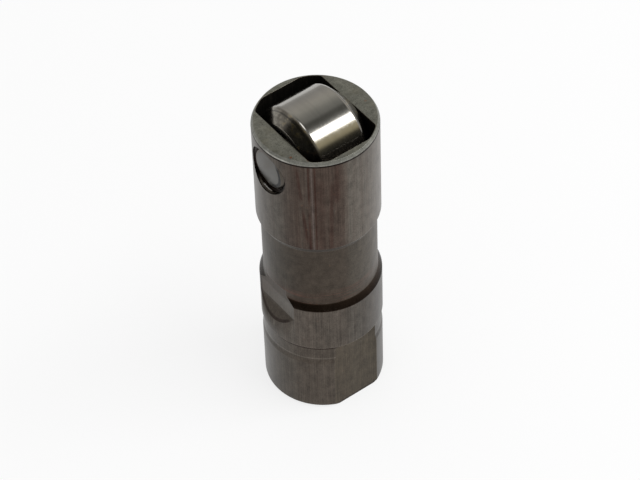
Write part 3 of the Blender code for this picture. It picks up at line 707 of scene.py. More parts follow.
def counterbore_painted_light(b, sizes, colours, pattern):
    """The counterbore's wall: painted shade, with painted light on the low side where the lamp reaches
    it, and one painted glint.
    """
    depth = (sizes.radius ** 2 - b.y ** 2) ** 0.5 - abs(b.x)
    # Painted light on the low side, and a painted glint in it
    lit = b.between(b.y, -1.6 * MM, 2.0 * MM, MM) * b.step(b.z, AXLE_Z, AXLE_Z - 2 * MM)
    lit = lit * b.step(depth, 0.14 * MM, 0.20 * MM) * b.step(depth, 0.62 * MM, 0.55 * MM)
    glint = (b.between(depth, 0.58 * MM, 0.74 * MM, 0.05 * MM)
             * b.between(b.y + (pattern.mottle - 0.5) * MM, -0.5 * MM, 0.9 * MM, 0.5 * MM))
    return b.layered(tinted(colours.stain, 0.20), (lit, tinted(colours.ground, 1.25)),
                     (glint, PAINTED_GLINT))


def body_colour(b, sizes, colours, zone, pattern, mark):
    """The body's colour: bare steel, then stain and painted reflection, painted light and shade, then
    each machined surface.
    """
    ground, stain, turned, top = colours.ground, colours.stain, colours.turned, colours.top
    _, band_top, band_foot, relief_foot = levels(sizes)
    notch_foot = band_top - sizes.notch_drop
    streak, cloud, mottle, turn = pattern.streak, pattern.cloud, pattern.mottle, pattern.turn

    as_turned = b.layered(
        b.mix(0.35 * turn + 0.65 * mark.stain, tinted(turned, 1.25, 1.40, 1.45), turned),
        (b.step(turn, 0.35, 0.7) * 0.35, tinted(turned, 0.65)),
        (b.step(turn, 0.50, 0.66) * 0.6
         * b.between(b.z, band_top + sizes.taper, band_top + 3.8 * MM, MM),
         tinted(stain, 1.7, 1.25, 1.2)))
    base = b.layered(
        b.mix(cloud, ground, tinted(ground, 0.80)),
        (b.step(streak, 0.40, 0.72) * 0.25, stain),
        # Brown stain and painted reflection on the front
        (mark.stain * (0.25 + 0.50 * mark.head * b.step(streak, 0.15, 0.50)),
         b.mix(streak, tinted(stain, 1.15, 1.2, 1.15), tinted(stain, 0.80))),
        # Streaks and a pale line of painted reflection
        (mark.streaks * 0.85, tinted(stain, 0.72, 0.52, 0.50)),
        (mark.pale_line * 0.55, tinted(ground, 1.15, 1.05, 1.15)),
        (zone.waist, as_turned),
        (zone.taper, tinted(stain, 0.42, 0.44, 0.38)),
        ((zone.relief + zone.skirt) * 0.45, as_turned))

    # Painted light and shade: the head and waist are lighter to the right, and the band and skirt darker
    # at both sides
    side = mark.across / (8.7 * MM)
    upper = b.step(b.z, band_top, band_top + MM)
    base = b.shaded(base, 1 + side * upper * 0.24 - side ** 2 * (1 - upper) * 0.32)

    # Painted highlights and painted shade: light and dark lines at the feet of band, relief and skirt
    outer = b.step(zone.out, sizes.radius - 1.5 * MM, sizes.radius - 1.2 * MM)
    painted_highlight_lines = (b.between(b.z, band_foot + SOFT, band_foot + 3 * SOFT) * 0.9
                   + b.between(b.z, relief_foot + 7 * SOFT, relief_foot + 10 * SOFT)
                   * (1 - zone.flat) * 0.45)
    painted_shade_lines = (b.between(b.z, band_foot - 8 * SOFT, band_foot - SOFT) * 0.9
                  + b.step(b.z, 9 * SOFT, 6 * SOFT) * 0.7)

    notch_low = b.step(b.z + b.y * 0.6 + (mottle - 0.5) * 2 * MM,
                       notch_foot + 4.0 * MM, notch_foot + 0.8 * MM)
    notch_tone = b.mix(notch_low, tinted(turned, 0.98, 1.00, 1.02), tinted(ground, 0.74))
    top_tone = b.layered(
        b.mix(b.step(pattern.speckle, 0.35, 0.65), top, tinted(top, 0.66)),
        (b.step(cloud, 0.5, 0.75) * 0.45, tinted(top, 0.80, 0.72, 0.56)))
    # Painted highlight, strongest on the chamfer's lower left
    painted_glare = b.step(b.x, -8.8 * MM, -10.0 * MM) * b.step(b.y, 0.5 * MM, -1.5 * MM)
    base = b.layered(
        base,
        (zone.flat * 0.6, tinted(turned, 1.2, 1.2, 1.0)),
        # Painted highlight and painted shade lines at the feet of band, relief and skirt
        (painted_highlight_lines * outer * b.step(streak, 0.25, 0.5), tinted(ground, 1.5)),
        (painted_shade_lines * outer, tinted(stain, 0.4)),
        (zone.notch, b.shaded(notch_tone, 1.2 - mottle * 0.4)),
        (zone.ramp, b.mix(mottle, tinted(turned, 1.02, 1.06, 1.08),
                          tinted(turned, 0.66, 0.70, 0.70))),
        (zone.notch_edge * 0.80, tinted(stain, 0.3)),
        (zone.top, top_tone),
        (zone.chamfer, b.mix(mottle, tinted(top, 0.90), tinted(top, 0.60))),
        # A painted highlight line and a painted shade line on the rim's chamfer
        (zone.pale_chamfer * (0.06 + 0.34 * painted_glare), CHAMFER_HIGHLIGHT),
        (zone.dark_chamfer * 0.95, tinted(stain, 0.18)),
        (zone.pocket, colours.pocket),
        (zone.bore * 0.9, b.mix(turn, colours.seat, turned)),
        # The counterbore's wall in painted shade, painted light and a painted glint
        (zone.hole_wall, counterbore_painted_light(b, sizes, colours, pattern)),
        (mark.rust * 0.8, colours.rust),
        (mark.worn * 0.55 * (1 - zone.pocket) * (1 - zone.hole_wall), tinted(ground, 1.9)),
        (mark.hair * (1 - zone.coarse) * 0.22, tinted(ground, 1.7)))
    return b.shaded(base, 1 + (mottle - 0.5) * 1.1 + (pattern.speckle - 0.5) * 1.1
                    + (pattern.fine_streak - 0.5) * (1 - zone.coarse) * 0.9
                    + (turn - 0.5) * zone.coarse * 1.1)


def body_material(sizes, colours, pin_radius):
    """Ground and turned steel, darkened by heat and oil, with painted light, shade and reflection, and a
    zone for each machined surface.
    """
    material, b = new_material("lifter_body_steel")
    zone = body_zones(b, sizes, pin_radius)
    pattern = body_patterns(b)
    mark = body_marks(b, sizes, zone, pattern)
    roughness = (0.34 + 0.10 * (pattern.fine_streak - 0.5) + 0.12 * (pattern.cloud - 0.5)
                 + 0.08 * zone.waist + 0.06 * zone.flat + 0.16 * zone.pocket - 0.05 * zone.top
                 + 0.20 * zone.chamfer - 0.10 * mark.worn + 0.12 * mark.rust)
    height = ((pattern.grind * 0.35 + pattern.fine_streak * 0.5) * (1 - zone.coarse)
              + pattern.turn * zone.coarse * 1.6 + pattern.speckle * 0.35
              - pattern.pits * 1.2 - mark.hair * 0.8)
    b.finish(body_colour(b, sizes, colours, zone, pattern, mark), roughness,
             b.bump(height, 0.004 * MM), metallic=1 - 0.6 * zone.chamfer)
    return material


def roller_material(sizes, colours):
    """Polished steel with fine lines round the tread, and shoulders with stain, painted gold glints and
    painted shade on their low side.
    """
    material, b = new_material("polished_roller_steel")
    steel, radius, half_width = colours.roller, sizes.radius, sizes.half_width
    centred = b.scaled((1, 1, 1), shift=(0, 0, -AXLE_Z))
    out = (b.y ** 2 + (b.z - AXLE_Z) ** 2) ** 0.5

    hub = b.step(abs(b.x), half_width - 0.06 * MM, half_width - 0.01 * MM)
    shoulder = (b.step(out, radius - 0.04 * MM, radius - 0.20 * MM) * (1 - hub)
                * b.step(out, radius - sizes.wall, radius - sizes.wall + 0.1 * MM))
    ring_line = b.between(out, radius - 0.62 * MM, radius - 0.50 * MM, 0.08 * MM) * shoulder
    # Painted shade on the shoulders' low side
    painted_low_shade = b.step(b.y, -2.5 * MM, -6.0 * MM)
    worn = b.worn_edge(0.12 * MM)

    lines = b.noise((9000, 70, 70), 2.0, 0.6, vector=centred)
    wide_lines = b.noise((1500, 60, 60), 2.0, 0.5, vector=centred, shift=(4, 0, 0))
    grain = b.noise((4200, 4200, 4200), 3.0, 0.6, vector=centred)
    cloud = b.noise((260, 260, 260), 3.0, 0.6, vector=centred, shift=(5, 2, 9))
    blotch = b.noise((900, 900, 900), 3.0, 0.6, vector=centred, shift=(2, 7, 1))
    rings = b.noise((70, 2600, 2600), 2.0, 0.6, vector=b.node("ShaderNodeCombineXYZ", None, {1: out}))
    hair = b.scratches((2600, 240, 240), 0.015, (1, 2, 3))

    # Stain mottles on the shoulders, with gold blotches of painted glint on the near side
    stain_and_glints = b.layered(
        b.mix(b.step(blotch, 0.42, 0.66), tinted(steel, 0.36, 0.345, 0.32),
              tinted(steel, 0.62, 0.60, 0.55)),
        (b.step(blotch, 0.54, 0.66) * b.step(b.y, 2 * MM, -1 * MM) * 0.8,
         tinted(steel, 0.95, 0.78, 0.45)))
    base = b.layered(
        b.mix(cloud, steel, tinted(steel, 0.8)),
        (b.step(wide_lines, 0.35, 0.75) * 0.3, tinted(steel, 0.7)),
        # The shoulders: stain with painted glints, darkened by painted shade on the low side
        (shoulder * 0.95, b.shaded(b.shaded(stain_and_glints, 0.6 + rings * 0.8), 1.15 - 0.65 * painted_low_shade)),
        (ring_line * 0.6, tinted(steel, 0.12)),
        (hub * 0.4, tinted(steel, 0.6)),
        (worn * 0.5, tinted(steel, 1.6)))
    roughness = (0.15 + 0.06 * (grain - 0.5) + 0.08 * (cloud - 0.5) + 0.06 * shoulder + 0.15 * hub
                 + 0.05 * hair)
    height = (lines * 0.6 + wide_lines * 0.5) * (1 - 0.8 * shoulder) + grain * 0.25 - hair * 0.4
    b.finish(base, roughness, b.bump(height, 0.0014 * MM))
    return material


def turned_material(name, tone, axis="Z", centre_z=0.0, rough=0.30, depth=0.003, contrast=0.25,
                    shade_arc=None):
    """Turned steel with lines round an axis. The last argument, if given, is the radius of a patina ring
    on the end, with a dark arc of painted shade along it on one side.
    """
    material, b = new_material(name)
    centred = b.scaled((1, 1, 1), shift=(0, 0, -centre_z))
    x, y, z = b.parts(centred)
    first, second, along = (x, y, z) if axis == "Z" else (y, z, x)
    out = (first ** 2 + second ** 2) ** 0.5
    rings = b.node("ShaderNodeCombineXYZ", None, {0: out, 1: along, 2: first * 0.02})
    lines = b.noise((6500, 6500, 900), 2.0, 0.6, vector=rings)
    grain = b.noise((4800, 4800, 4800), 3.0, 0.6, vector=centred)
    cloud = b.noise((330, 330, 330), 3.0, 0.6, vector=centred, shift=(1, 4, 2))
    hair = b.scratches((1500, 700, 500), 0.012, (6, 1, 2))
    base = b.layered(
        tuple(tone),
        (lines * contrast * 2, tinted(tone, 0.6)),
        (b.step(cloud, 0.42, 0.72) * contrast * 1.6, tinted(tone, 0.70, 0.60, 0.48)),
        (b.worn_edge(0.10 * MM) * 0.5, tinted(tone, 1.6)))
    if shade_arc:
        # A patina ring outside the radius, and a dark arc of painted shade along it on one side
        ring = (b.step(abs(out - shade_arc + (cloud - 0.5) * 0.5 * MM), 0.40 * MM, 0.25 * MM)
                * b.step(first, 0.2 * MM, -1.4 * MM) * b.step(second, 2.6 * MM, 1.6 * MM))
        base = b.layered(base, (b.step(out, shade_arc, shade_arc + 0.1 * MM), tinted(tone, 0.80, 0.72, 0.66)),
                         (ring, tinted(tone, 0.04)))
    roughness = rough + 0.12 * (cloud - 0.5) + 0.10 * (grain - 0.5) + 0.05 * hair
    b.finish(base, roughness, b.bump(lines + grain * 0.4 - hair * 0.6, depth * MM))
    return material


def ray_masks(b):
    """1 for what the camera sees itself or through glass, and 1 for what metal mirrors."""
    ray = b.node("ShaderNodeLightPath").socket.node.outputs
    camera, through, mirrored = (
        Field(b, ray[name]) for name in ("Is Camera Ray", "Is Transmission Ray", "Is Glossy Ray"))
    return (camera + through).least(1), mirrored


def floor_material(studio):
    """A matt floor that keeps the shadow and is seen nearly white."""
    material = bpy.data.materials.new("pale_floor")
    b = emptied(material)
    seen, mirrored = ray_masks(b)
    matt = b.node("ShaderNodeBsdfDiffuse", None, {"Color": (*studio.floor, 1)})
    white = b.node("ShaderNodeEmission", None, {"Color": (1, 1, 1, 1), "Strength": 1.0})
    shown = b.node("ShaderNodeMixShader", None,
                   {0: (seen + mirrored).least(1) * 0.75, 1: matt, 2: white})
    b.node("ShaderNodeOutputMaterial", None, {"Surface": shown})
    return material


# Colours of the room that metal mirrors, from the horizon to straight up
BRIGHT_HALF = ((0.0, (0.56, 0.55, 0.54)), (0.18, (0.48, 0.47, 0.46)), (0.60, (0.62, 0.60, 0.56)),
               (0.72, (0.58, 0.57, 0.53)), (0.85, (0.36, 0.36, 0.34)), (0.93, (0.24, 0.24, 0.23)))
DARK_HALF = ((0.0, (0.04, 0.04, 0.035)), (0.30, (0.015, 0.015, 0.012)), (0.50, (0.05, 0.045, 0.03)),
             (0.66, (0.30, 0.28, 0.22)), (0.95, (0.26, 0.26, 0.25)))
DIM_CORNER, CEILING_PANEL = (0.12, 0.12, 0.11), (2.6, 2.6, 2.6)


def sky(scene, studio):
    """Soft light from all sides, white to the camera, and a room with a dark half for metal."""
    world = bpy.data.worlds.new("studio")
    scene.world = world
    b = emptied(world)
    seen, mirrored = ray_masks(b)
    way = b.node("ShaderNodeTexCoord", output="Generated")
    x, y, up = b.parts(way)
    level = (x ** 2 + y ** 2) ** 0.5 + 0.001
    bright, dark = (b.node("ShaderNodeValToRGB", {"stops": stops}, {0: up})
                    for stops in (BRIGHT_HALF, DARK_HALF))
    room = b.layered(
        bright,
        (b.step(b.along(towards(DARK_SIDE, 0), way) / level, -0.02, 0.14), dark),
        (b.step(b.along(LAMP_SIDE, way), 0.87, 0.945) * b.step(y, -0.35, -0.5), tuple(studio.warm)),
        (b.between(y, -0.06, 0.05, 0.14) * b.step(up, 0.80, 0.88) * b.step(x, 0.1, 0.25), DIM_CORNER),
        (b.step(b.along(OVERHEAD, way), 0.975, 0.992), CEILING_PANEL))
    shown = b.layered((studio.sky,) * 3, (mirrored, room), (seen, (1, 1, 1)))
    light = b.node("ShaderNodeBackground", None, {"Color": shown, "Strength": 1.0})
    b.node("ShaderNodeOutputWorld", None, {"Surface": light})


# Cutters


def lowered(bm, face, inset, drop):
    """Leads a face inwards and down, with a strip of wall round it."""
    bmesh.ops.inset_region(bm, faces=[face], thickness=inset, depth=0, use_boundary=True,
                           use_even_offset=True)
    bmesh.ops.translate(bm, verts=face.verts, vec=(0, 0, -drop))


def sharp_corners(bm):
    """The corners where an outline turns by more than a circle's facets do."""
    return [vert for vert in bm.verts if vert.calc_edge_angle(0) > math.radians(8)]


def pocket_floor(sizes):
    """Height of the pocket's floor, under the roller."""
    return 2 * AXLE_Z - WHEEL_HIGH.z - sizes.pocket_floor


def pocket_cutter(sizes):
    """The pocket from above: a circle cut off by four walls, with a rounded edge and floor."""
    edge, floor_round, steps = sizes.pocket_edge, sizes.pocket_corner - 2 * sizes.edge, 4
    bm = bmesh.new()
    bmesh.ops.create_circle(bm, cap_ends=True, segments=sizes.sides,
                            radius=sizes.radius - sizes.pocket_wall + edge)
    for axis, wall in ((Vector((1, 0, 0)), sizes.radius - sizes.ear + edge),
                       (Vector((0, 1, 0)), sizes.radius - sizes.end_wall + edge)):
        for normal in (axis, -axis):
            bmesh.ops.bisect_plane(bm, geom=bm.verts[:] + bm.edges[:] + bm.faces[:], dist=1e-9,
                                   plane_co=normal * wall, plane_no=normal, clear_outer=True)
    corners, corner_round = sharp_corners(bm), sizes.pocket_corner + edge
    crowded = [vert for vert in bm.verts if vert not in corners and any(
        (vert.co - corner.co).length < 1.2 * corner_round for corner in corners)]
    bmesh.ops.dissolve_verts(bm, verts=crowded)
    rounded(bm, sharp_corners(bm), corner_round, 6, "VERTICES")
    face = max(bm.faces, key=lambda f: f.calc_area())
    if face.normal.z < 0:
        face.normal_flip()
    bmesh.ops.translate(bm, verts=bm.verts, vec=(0, 0, sizes.height))
    quarter = [TAU / 4 * step / steps for step in range(steps + 1)]
    for low, high in zip(quarter, quarter[1:]):
        lowered(bm, face, edge * (math.sin(high) - math.sin(low)),
                edge * (math.cos(low) - math.cos(high)))
    lowered(bm, face, 0, sizes.height - edge - pocket_floor(sizes) - floor_round)
    for low, high in zip(quarter, quarter[1:]):
        lowered(bm, face, floor_round * (math.cos(low) - math.cos(high)),
                floor_round * (math.sin(high) - math.sin(low)))
    lifted = bmesh.ops.extrude_edge_only(bm, edges=open_edges(bm))["geom"]
    bmesh.ops.translate(bm, verts=only_verts(lifted), vec=(0, 0, MM))
    bmesh.ops.holes_fill(bm, edges=open_edges(bm), sides=0)
    bmesh.ops.recalc_face_normals(bm, faces=bm.faces)
    return bm


def pin_hole_cutter(sizes, pin_radius):
    """The pin's bore through both ears, with a counterbore whose edge is broken at each end."""
    hole, wide = pin_radius + sizes.pin_fit, pin_radius + sizes.counterbore
    radius, edge, lead = sizes.radius, sizes.edge, 0.12 * MM
    ledge, past = radius - sizes.counterbore_depth, radius + MM
    half = [(hole, ledge - lead), (hole + lead, ledge), (wide, ledge, 2 * lead), (wide, radius, edge),
            (wide + 2 * edge, radius + 0.6 * edge), (wide + 2 * edge, past), (0, past)]
    bm = bent_to_cylinder(moved(spun(both_ends(half), 160), ALONG_X), radius, radius - 2 * edge)
    return moved(bm, Matrix.Translation((0, 0, AXLE_Z)))


def cross_hole_cutter(hole, inner, surface, edge, turn):
    """A hole across a cylinder from its bore, with its outer edge broken."""
    bm = moved(spun([(0, inner), (hole, inner), (hole, surface, edge),
                     (hole + 2 * edge, surface + 0.6 * edge), (hole + 2 * edge, surface + MM),
                     (0, surface + MM)], 72), ALONG_X)
    return moved(bent_to_cylinder(bm, surface, surface - 2 * edge), turn)


def notch_cutter(sizes):
    """The oil notch: a flat across the band's top edge with a ramp at each end."""
    flat = -sizes.radius + sizes.notch_depth
    reach = sizes.notch_depth + MM
    band_top = levels(sizes)[1]
    foot, head = band_top - sizes.notch_drop, band_top + sizes.notch_rise
    bm = bmesh.new()
    corners = [bm.verts.new((x, -sizes.radius, z)) for x, z in (
        (flat, foot), (flat, head), (flat - reach, head + reach),
        (flat - reach, foot - reach / math.tan(sizes.notch_ramp)))]
    side = bmesh.ops.extrude_face_region(bm, geom=[bm.faces.new(corners)])["geom"]
    bmesh.ops.translate(bm, verts=only_verts(side), vec=(0, 2 * sizes.radius, 0))
    bmesh.ops.recalc_face_normals(bm, faces=bm.faces)
    return bm


# Operators


class LIFTER_OT_body(bpy.types.Operator):
    """Build the turned and ground body with its pocket, notch, flats and bore"""
    bl_idname = "lifter.body"
    bl_label = "Body"

    def execute(self, context):
        s, pin_radius = context.scene.lifter_body, context.scene.lifter_roller.pin_radius
        waist, relief, skirt = (s.radius - d for d in (s.waist_depth, s.relief_depth, s.skirt_depth))
        head_foot, band_top, band_foot, relief_foot = levels(s)
        bore = s.radius - s.bore_wall
        groove, groove_low, groove_high = (
            bore + s.groove_depth, RING_LOW.z - s.groove_play, RING_HIGH.z + s.groove_play)
        e, crisp, gentle, waist_round, bore_round = (
            s.edge, 0.03 * MM, 0.20 * MM, 0.25 * MM, 0.40 * MM)
        run_out, lip, hole_edge = 0.90 * MM, 0.10 * MM, 0.12 * MM
        profile = [
            (0, pocket_floor(s) - s.web), (bore, pocket_floor(s) - s.web, bore_round),
            (bore, groove_high, e), (groove, groove_high, e), (groove, groove_low, e),
            (bore, groove_low, e), (bore, s.mouth_chamfer, e), (bore + s.mouth_chamfer, 0, e),
            (skirt - s.end_chamfer, 0, e), (skirt, s.end_chamfer, e),
            (skirt, relief_foot - run_out, gentle), (relief, relief_foot, gentle),
            (relief, band_foot, crisp), (s.radius, band_foot + lip, crisp),
            (s.radius, band_top, e), (waist, band_top + s.taper, waist_round),
            (waist, head_foot - s.taper, waist_round), (s.radius, head_foot, e),
            (s.radius, s.height - s.rim_drop, e), (s.radius - s.rim_chamfer, s.height, e),
            (0, s.height),
        ]
        reach, flat = s.radius + MM, s.radius - s.flat_depth
        flats = [block((-reach, low, -MM), (reach, high, band_foot - lip))
                 for low, high in ((-reach, -flat), (flat, reach))]
        oil = Matrix.Translation((0, 0, band_top + s.taper + s.oil_hole_rise))
        bm = cut(spun(profile, s.sides), [
            pocket_cutter(s), pin_hole_cutter(s, pin_radius), notch_cutter(s), *flats,
            cross_hole_cutter(s.oil_hole, bore - MM, waist, hole_edge, oil)])
        piece("body_shell", bm, body_material(s, context.scene.lifter_steels, pin_radius),
              "lifter_body", ["lifter_body"])
        return {"FINISHED"}


class LIFTER_OT_roller(bpy.types.Operator):
    """Build the polished roller"""
    bl_idname = "lifter.roller"
    bl_label = "Roller"

    def execute(self, context):
        s = context.scene.lifter_roller
        bore = s.radius - s.wall
        half = [(bore, s.half_width - s.bore_chamfer, s.bore_round),
                (bore + s.bore_chamfer, s.half_width, s.bore_round),
                (s.radius - s.shoulder_drop, s.half_width, s.hub_round),
                (s.radius, s.half_width - s.shoulder, s.shoulder_round)]
        bm = moved(spun(both_ends(half), s.sides, closed=True, segments=6),
                   Matrix.Translation((0, 0, AXLE_Z)) @ ALONG_X)
        piece("roller", bm, roller_material(s, context.scene.lifter_steels),
              "roller_wheel", ["roller_wheel"])
        return {"FINISHED"}


class LIFTER_OT_pin(bpy.types.Operator):
    """Build the fixed pin"""
    bl_idname = "lifter.pin"
    bl_label = "Pin"

    def execute(self, context):
        s = context.scene.lifter_roller
        half = [(s.pin_radius, s.pin_half - s.pin_chamfer, s.pin_round),
                (s.pin_radius - s.pin_chamfer, s.pin_half, s.pin_round), (0, s.pin_half)]
        bm = moved(spun(both_ends(half), s.pin_sides),
                   Matrix.Translation((0, 0, AXLE_Z)) @ ALONG_X)
        piece("pin", bm, turned_material("ground_pin_steel", context.scene.lifter_steels.pin, "X",
                                         AXLE_Z, rough=0.32, shade_arc=s.shade_arc),
              "lifter_body", ["roller_pin"])
        return {"FINISHED"}


class LIFTER_OT_needles(bpy.types.Operator):
    """Build the full set of needles between the pin and the roller"""
    bl_idname = "lifter.needles"
    bl_label = "Needles"

    def execute(self, context):
        s = context.scene.lifter_roller
        bright = turned_material("bright_needle_steel", context.scene.lifter_steels.bearing, "X",
                                 AXLE_Z, rough=0.16, depth=0.001, contrast=0.08)
        half = [(s.needle_radius, s.needle_half, s.crown), (0, s.needle_half)]
        for name in NEEDLES:
            low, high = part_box(name)
            bm = moved(spun(both_ends(half), s.needle_sides, segments=5),
                       Matrix.Translation((low + high) / 2) @ ALONG_X)
            piece("roller_" + name, bm, bright, "needle_set", [name])
        return {"FINISHED"}


class LIFTER_OT_ring(bpy.types.Operator):
    """Build the open wire ring that keeps the plunger in"""
    bl_idname = "lifter.ring"
    bl_label = "Retaining ring"

    def execute(self, context):
        s = context.scene.lifter_plunger
        start = (RING_HIGH.x - s.ring_wire, 0, (RING_LOW.z + RING_HIGH.z) / 2)
        bm = wire(s.ring_wire, start, [(TAU - s.ring_gap, 0, 200)], sides=24)
        turn = Matrix.Rotation(s.ring_gap / 2 - TAU / 4, 4, "Z")
        piece("ring", moved(closed_ends(bm), turn),
              turned_material("blackened_ring_wire", context.scene.lifter_steels.wire, rough=0.38,
                              contrast=0.2),
              "lifter_body", ["retaining_ring"])
        return {"FINISHED"}


class LIFTER_OT_seat(bpy.types.Operator):
    """Build the seat with its cup for the pushrod"""
    bl_idname = "lifter.seat"
    bl_label = "Pushrod seat"

    def execute(self, context):
        s, cup_steps = context.scene.lifter_plunger, 28
        low, high, outer, edge = SEAT_LOW.z, SEAT_HIGH.z, SEAT_HIGH.x, s.fine_edge
        centre = low + s.cup_depth - s.cup_radius
        mouth = math.asin((low - centre) / s.cup_radius)
        hole = math.acos(s.seat_hole / s.cup_radius)
        cup = [(s.cup_radius * math.cos(a), centre + s.cup_radius * math.sin(a))
               for a in (mouth + (hole - mouth) * i / cup_steps for i in range(cup_steps + 1))]
        profile = [(*cup[0], edge), *cup[1:], (s.seat_hole, high, edge),
                   (outer - s.seat_chamfer, high, edge), (outer, high - s.seat_chamfer, edge),
                   (outer, low + s.seat_chamfer, edge), (outer - s.seat_chamfer, low, edge)]
        piece("seat", spun(profile, s.sides, closed=True),
              turned_material("hardened_seat_steel", context.scene.lifter_steels.seat, rough=0.26),
              "plunger_unit", ["pushrod_seat"])
        return {"FINISHED"}


class LIFTER_OT_plunger(bpy.types.Operator):
    """Build the hollow plunger with its oil groove and port"""
    bl_idname = "lifter.plunger"
    bl_label = "Plunger"

    def execute(self, context):
        s = context.scene.lifter_plunger
        low, high, outer = PLUNGER_LOW.z, PLUNGER_HIGH.z, PLUNGER_HIGH.x
        reservoir, recess = outer - s.wall, DISC_HIGH.x + 0.25 * MM
        recess_top, reservoir_top = low + s.recess, high - s.plunger_web
        groove, e, chamfer, gentle = outer - s.groove_depth, s.edge, s.chamfer, s.groove_round
        profile = [(recess, low, e), (recess, recess_top, e), (reservoir, recess_top, e),
                   (reservoir, reservoir_top, 2 * gentle), (s.valve_hole, reservoir_top, e),
                   (s.valve_hole, high, e), (outer - chamfer, high, e), (outer, high - chamfer, e),
                   (outer, s.groove_high, e), (groove, s.groove_high, gentle),
                   (groove, s.groove_low, gentle), (outer, s.groove_low, e),
                   (outer, low + chamfer, e), (outer - chamfer, low, e)]
        port = (Matrix.Translation((0, 0, (s.groove_low + s.groove_high) / 2))
                @ Matrix.Rotation(TAU / 4, 4, "Z"))
        bm = cut(spun(profile, s.sides, closed=True),
                 [cross_hole_cutter(s.port, reservoir - MM, groove, e, port)])
        piece("plunger_body", bm,
              turned_material("ground_plunger_steel", context.scene.lifter_steels.plunger,
                              rough=0.22, depth=0.002, contrast=0.15),
              "plunger_unit", ["plunger"])
        return {"FINISHED"}


class LIFTER_OT_disc(bpy.types.Operator):
    """Build the loose metering disc between the seat and the plunger"""
    bl_idname = "lifter.disc"
    bl_label = "Metering disc"

    def execute(self, context):
        s = context.scene.lifter_plunger
        low, high, outer, e = DISC_LOW.z, DISC_HIGH.z, DISC_HIGH.x, s.edge
        bm = spun([(s.disc_hole, low, e), (outer, low, e), (outer, high, e), (s.disc_hole, high, e)],
                  s.small_sides, closed=True)
        piece("valve_disc", bm,
              turned_material("stamped_disc_steel", context.scene.lifter_steels.sheet, rough=0.34),
              "metering_disc", ["metering_disc"])
        return {"FINISHED"}


class LIFTER_OT_ball(bpy.types.Operator):
    """Build the check valve's ball"""
    bl_idname = "lifter.ball"
    bl_label = "Check ball"

    def execute(self, context):
        bm = bmesh.new()
        bmesh.ops.create_uvsphere(bm, u_segments=64, v_segments=40, radius=BALL_HIGH.x)
        piece("ball", moved(bm, Matrix.Translation((0, 0, BALL_Z))),
              turned_material("bright_ball_steel", context.scene.lifter_steels.bearing, "Z", BALL_Z,
                              rough=0.10, depth=0.0006, contrast=0.05),
              "check_ball", ["check_ball"])
        return {"FINISHED"}


class LIFTER_OT_retainer(bpy.types.Operator):
    """Build the pressed hat over the ball, with its three windows"""
    bl_idname = "lifter.retainer"
    bl_label = "Check retainer"

    def execute(self, context):
        s = context.scene.lifter_plunger
        low, flange, top, e = RETAINER_LOW.z, RETAINER_HIGH.x, RETAINER_HIGH.z, s.fine_edge
        outer, ceiling = s.hat + s.sheet, top - s.sheet
        profile = [(s.hat, low, e), (flange, low, e), (flange, low + s.sheet, e),
                   (outer, low + s.sheet, s.hat_foot), (outer, top, s.hat_bend),
                   (s.vent, top, e), (s.vent, ceiling, e), (s.hat, ceiling, 0.1 * MM)]
        windows = []
        for turn in range(3):
            window = block((s.hat / 2, -s.window / 2, low + s.sheet + s.window_margin),
                           (outer + MM, s.window / 2, ceiling - s.window_margin))
            outward = [edge for edge in window.edges
                       if abs(edge.verts[0].co.x - edge.verts[1].co.x) > MM]
            rounded(window, outward, 0.3 * MM, 5, "EDGES")
            windows.append(moved(window, Matrix.Rotation(TAU * turn / 3, 4, "Z")))
        piece("retainer_hat", cut(spun(profile, s.small_sides, closed=True), windows),
              turned_material("pressed_sheet_steel", context.scene.lifter_steels.sheet, rough=0.36,
                              contrast=0.3),
              "plunger_unit", ["check_retainer"])
        return {"FINISHED"}


def squashed(spring, joint, moving_end, travel):
    """Reads the fixed end of the spring's joint, and gives the spring a mesh of its own."""
    fixed = next(d["fixed_end_z_m"] for j in frame["joints"] if j["name"] == joint
                 for d in j["deforming_nodes"])
    1 - travel / (fixed - moving_end)
    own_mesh(spring)


class LIFTER_OT_check_spring(bpy.types.Operator):
    """Build the small coil on the ball, which widens towards the hat"""
    bl_idname = "lifter.check_spring"
    bl_label = "Check spring"

    def execute(self, context):
        s = context.scene.lifter_plunger
        foot = CHECK_SPRING_LOW.z + s.check_wire
        rise = CHECK_SPRING_HIGH.z - s.check_wire - foot
        bm = wire(s.check_wire, (s.check_coil, 0, foot), [(3 * TAU, rise, 120)], sides=12)
        for vert in bm.verts:
            climbed = (vert.co.z - foot) / rise
            vert.co.xy *= 1 + s.check_spread / s.check_coil * min(max(climbed, 0), 1)
        spring = piece("valve_spring", closed_ends(bm),
                       turned_material("fine_spring_wire", context.scene.lifter_steels.spring,
                                       rough=0.28, contrast=0.1),
                       "plunger_unit", ["check_spring"])
        squashed(spring, "check_ball_lift", CHECK_SPRING_LOW.z, s.check_lift)
        return {"FINISHED"}


class LIFTER_OT_plunger_spring(bpy.types.Operator):
    """Build the plunger spring, with a close turn at each end"""
    bl_idname = "lifter.plunger_spring"
    bl_label = "Plunger spring"

    def execute(self, context):
        s = context.scene.lifter_plunger
        foot, top = SPRING_LOW.z + s.spring_wire, SPRING_HIGH.z - s.spring_wire
        end_turns, end_pitch = 0.75, 2.16 * s.spring_wire
        end_rise = end_turns * end_pitch
        end_stage = (end_turns * TAU, end_rise, 36)
        middle_stage = ((s.spring_turns - 2 * end_turns) * TAU, top - foot - 2 * end_rise, 168)
        bm = wire(s.spring_wire, (s.spring_coil, 0, foot), [end_stage, middle_stage, end_stage])
        spring = piece("main_spring", closed_ends(bm),
                       turned_material("tempered_spring_wire", context.scene.lifter_steels.spring,
                                       rough=0.30, contrast=0.2),
                       "lifter_body", ["plunger_spring"])
        squashed(spring, "plunger_travel", SPRING_LOW.z, s.travel)
        return {"FINISHED"}


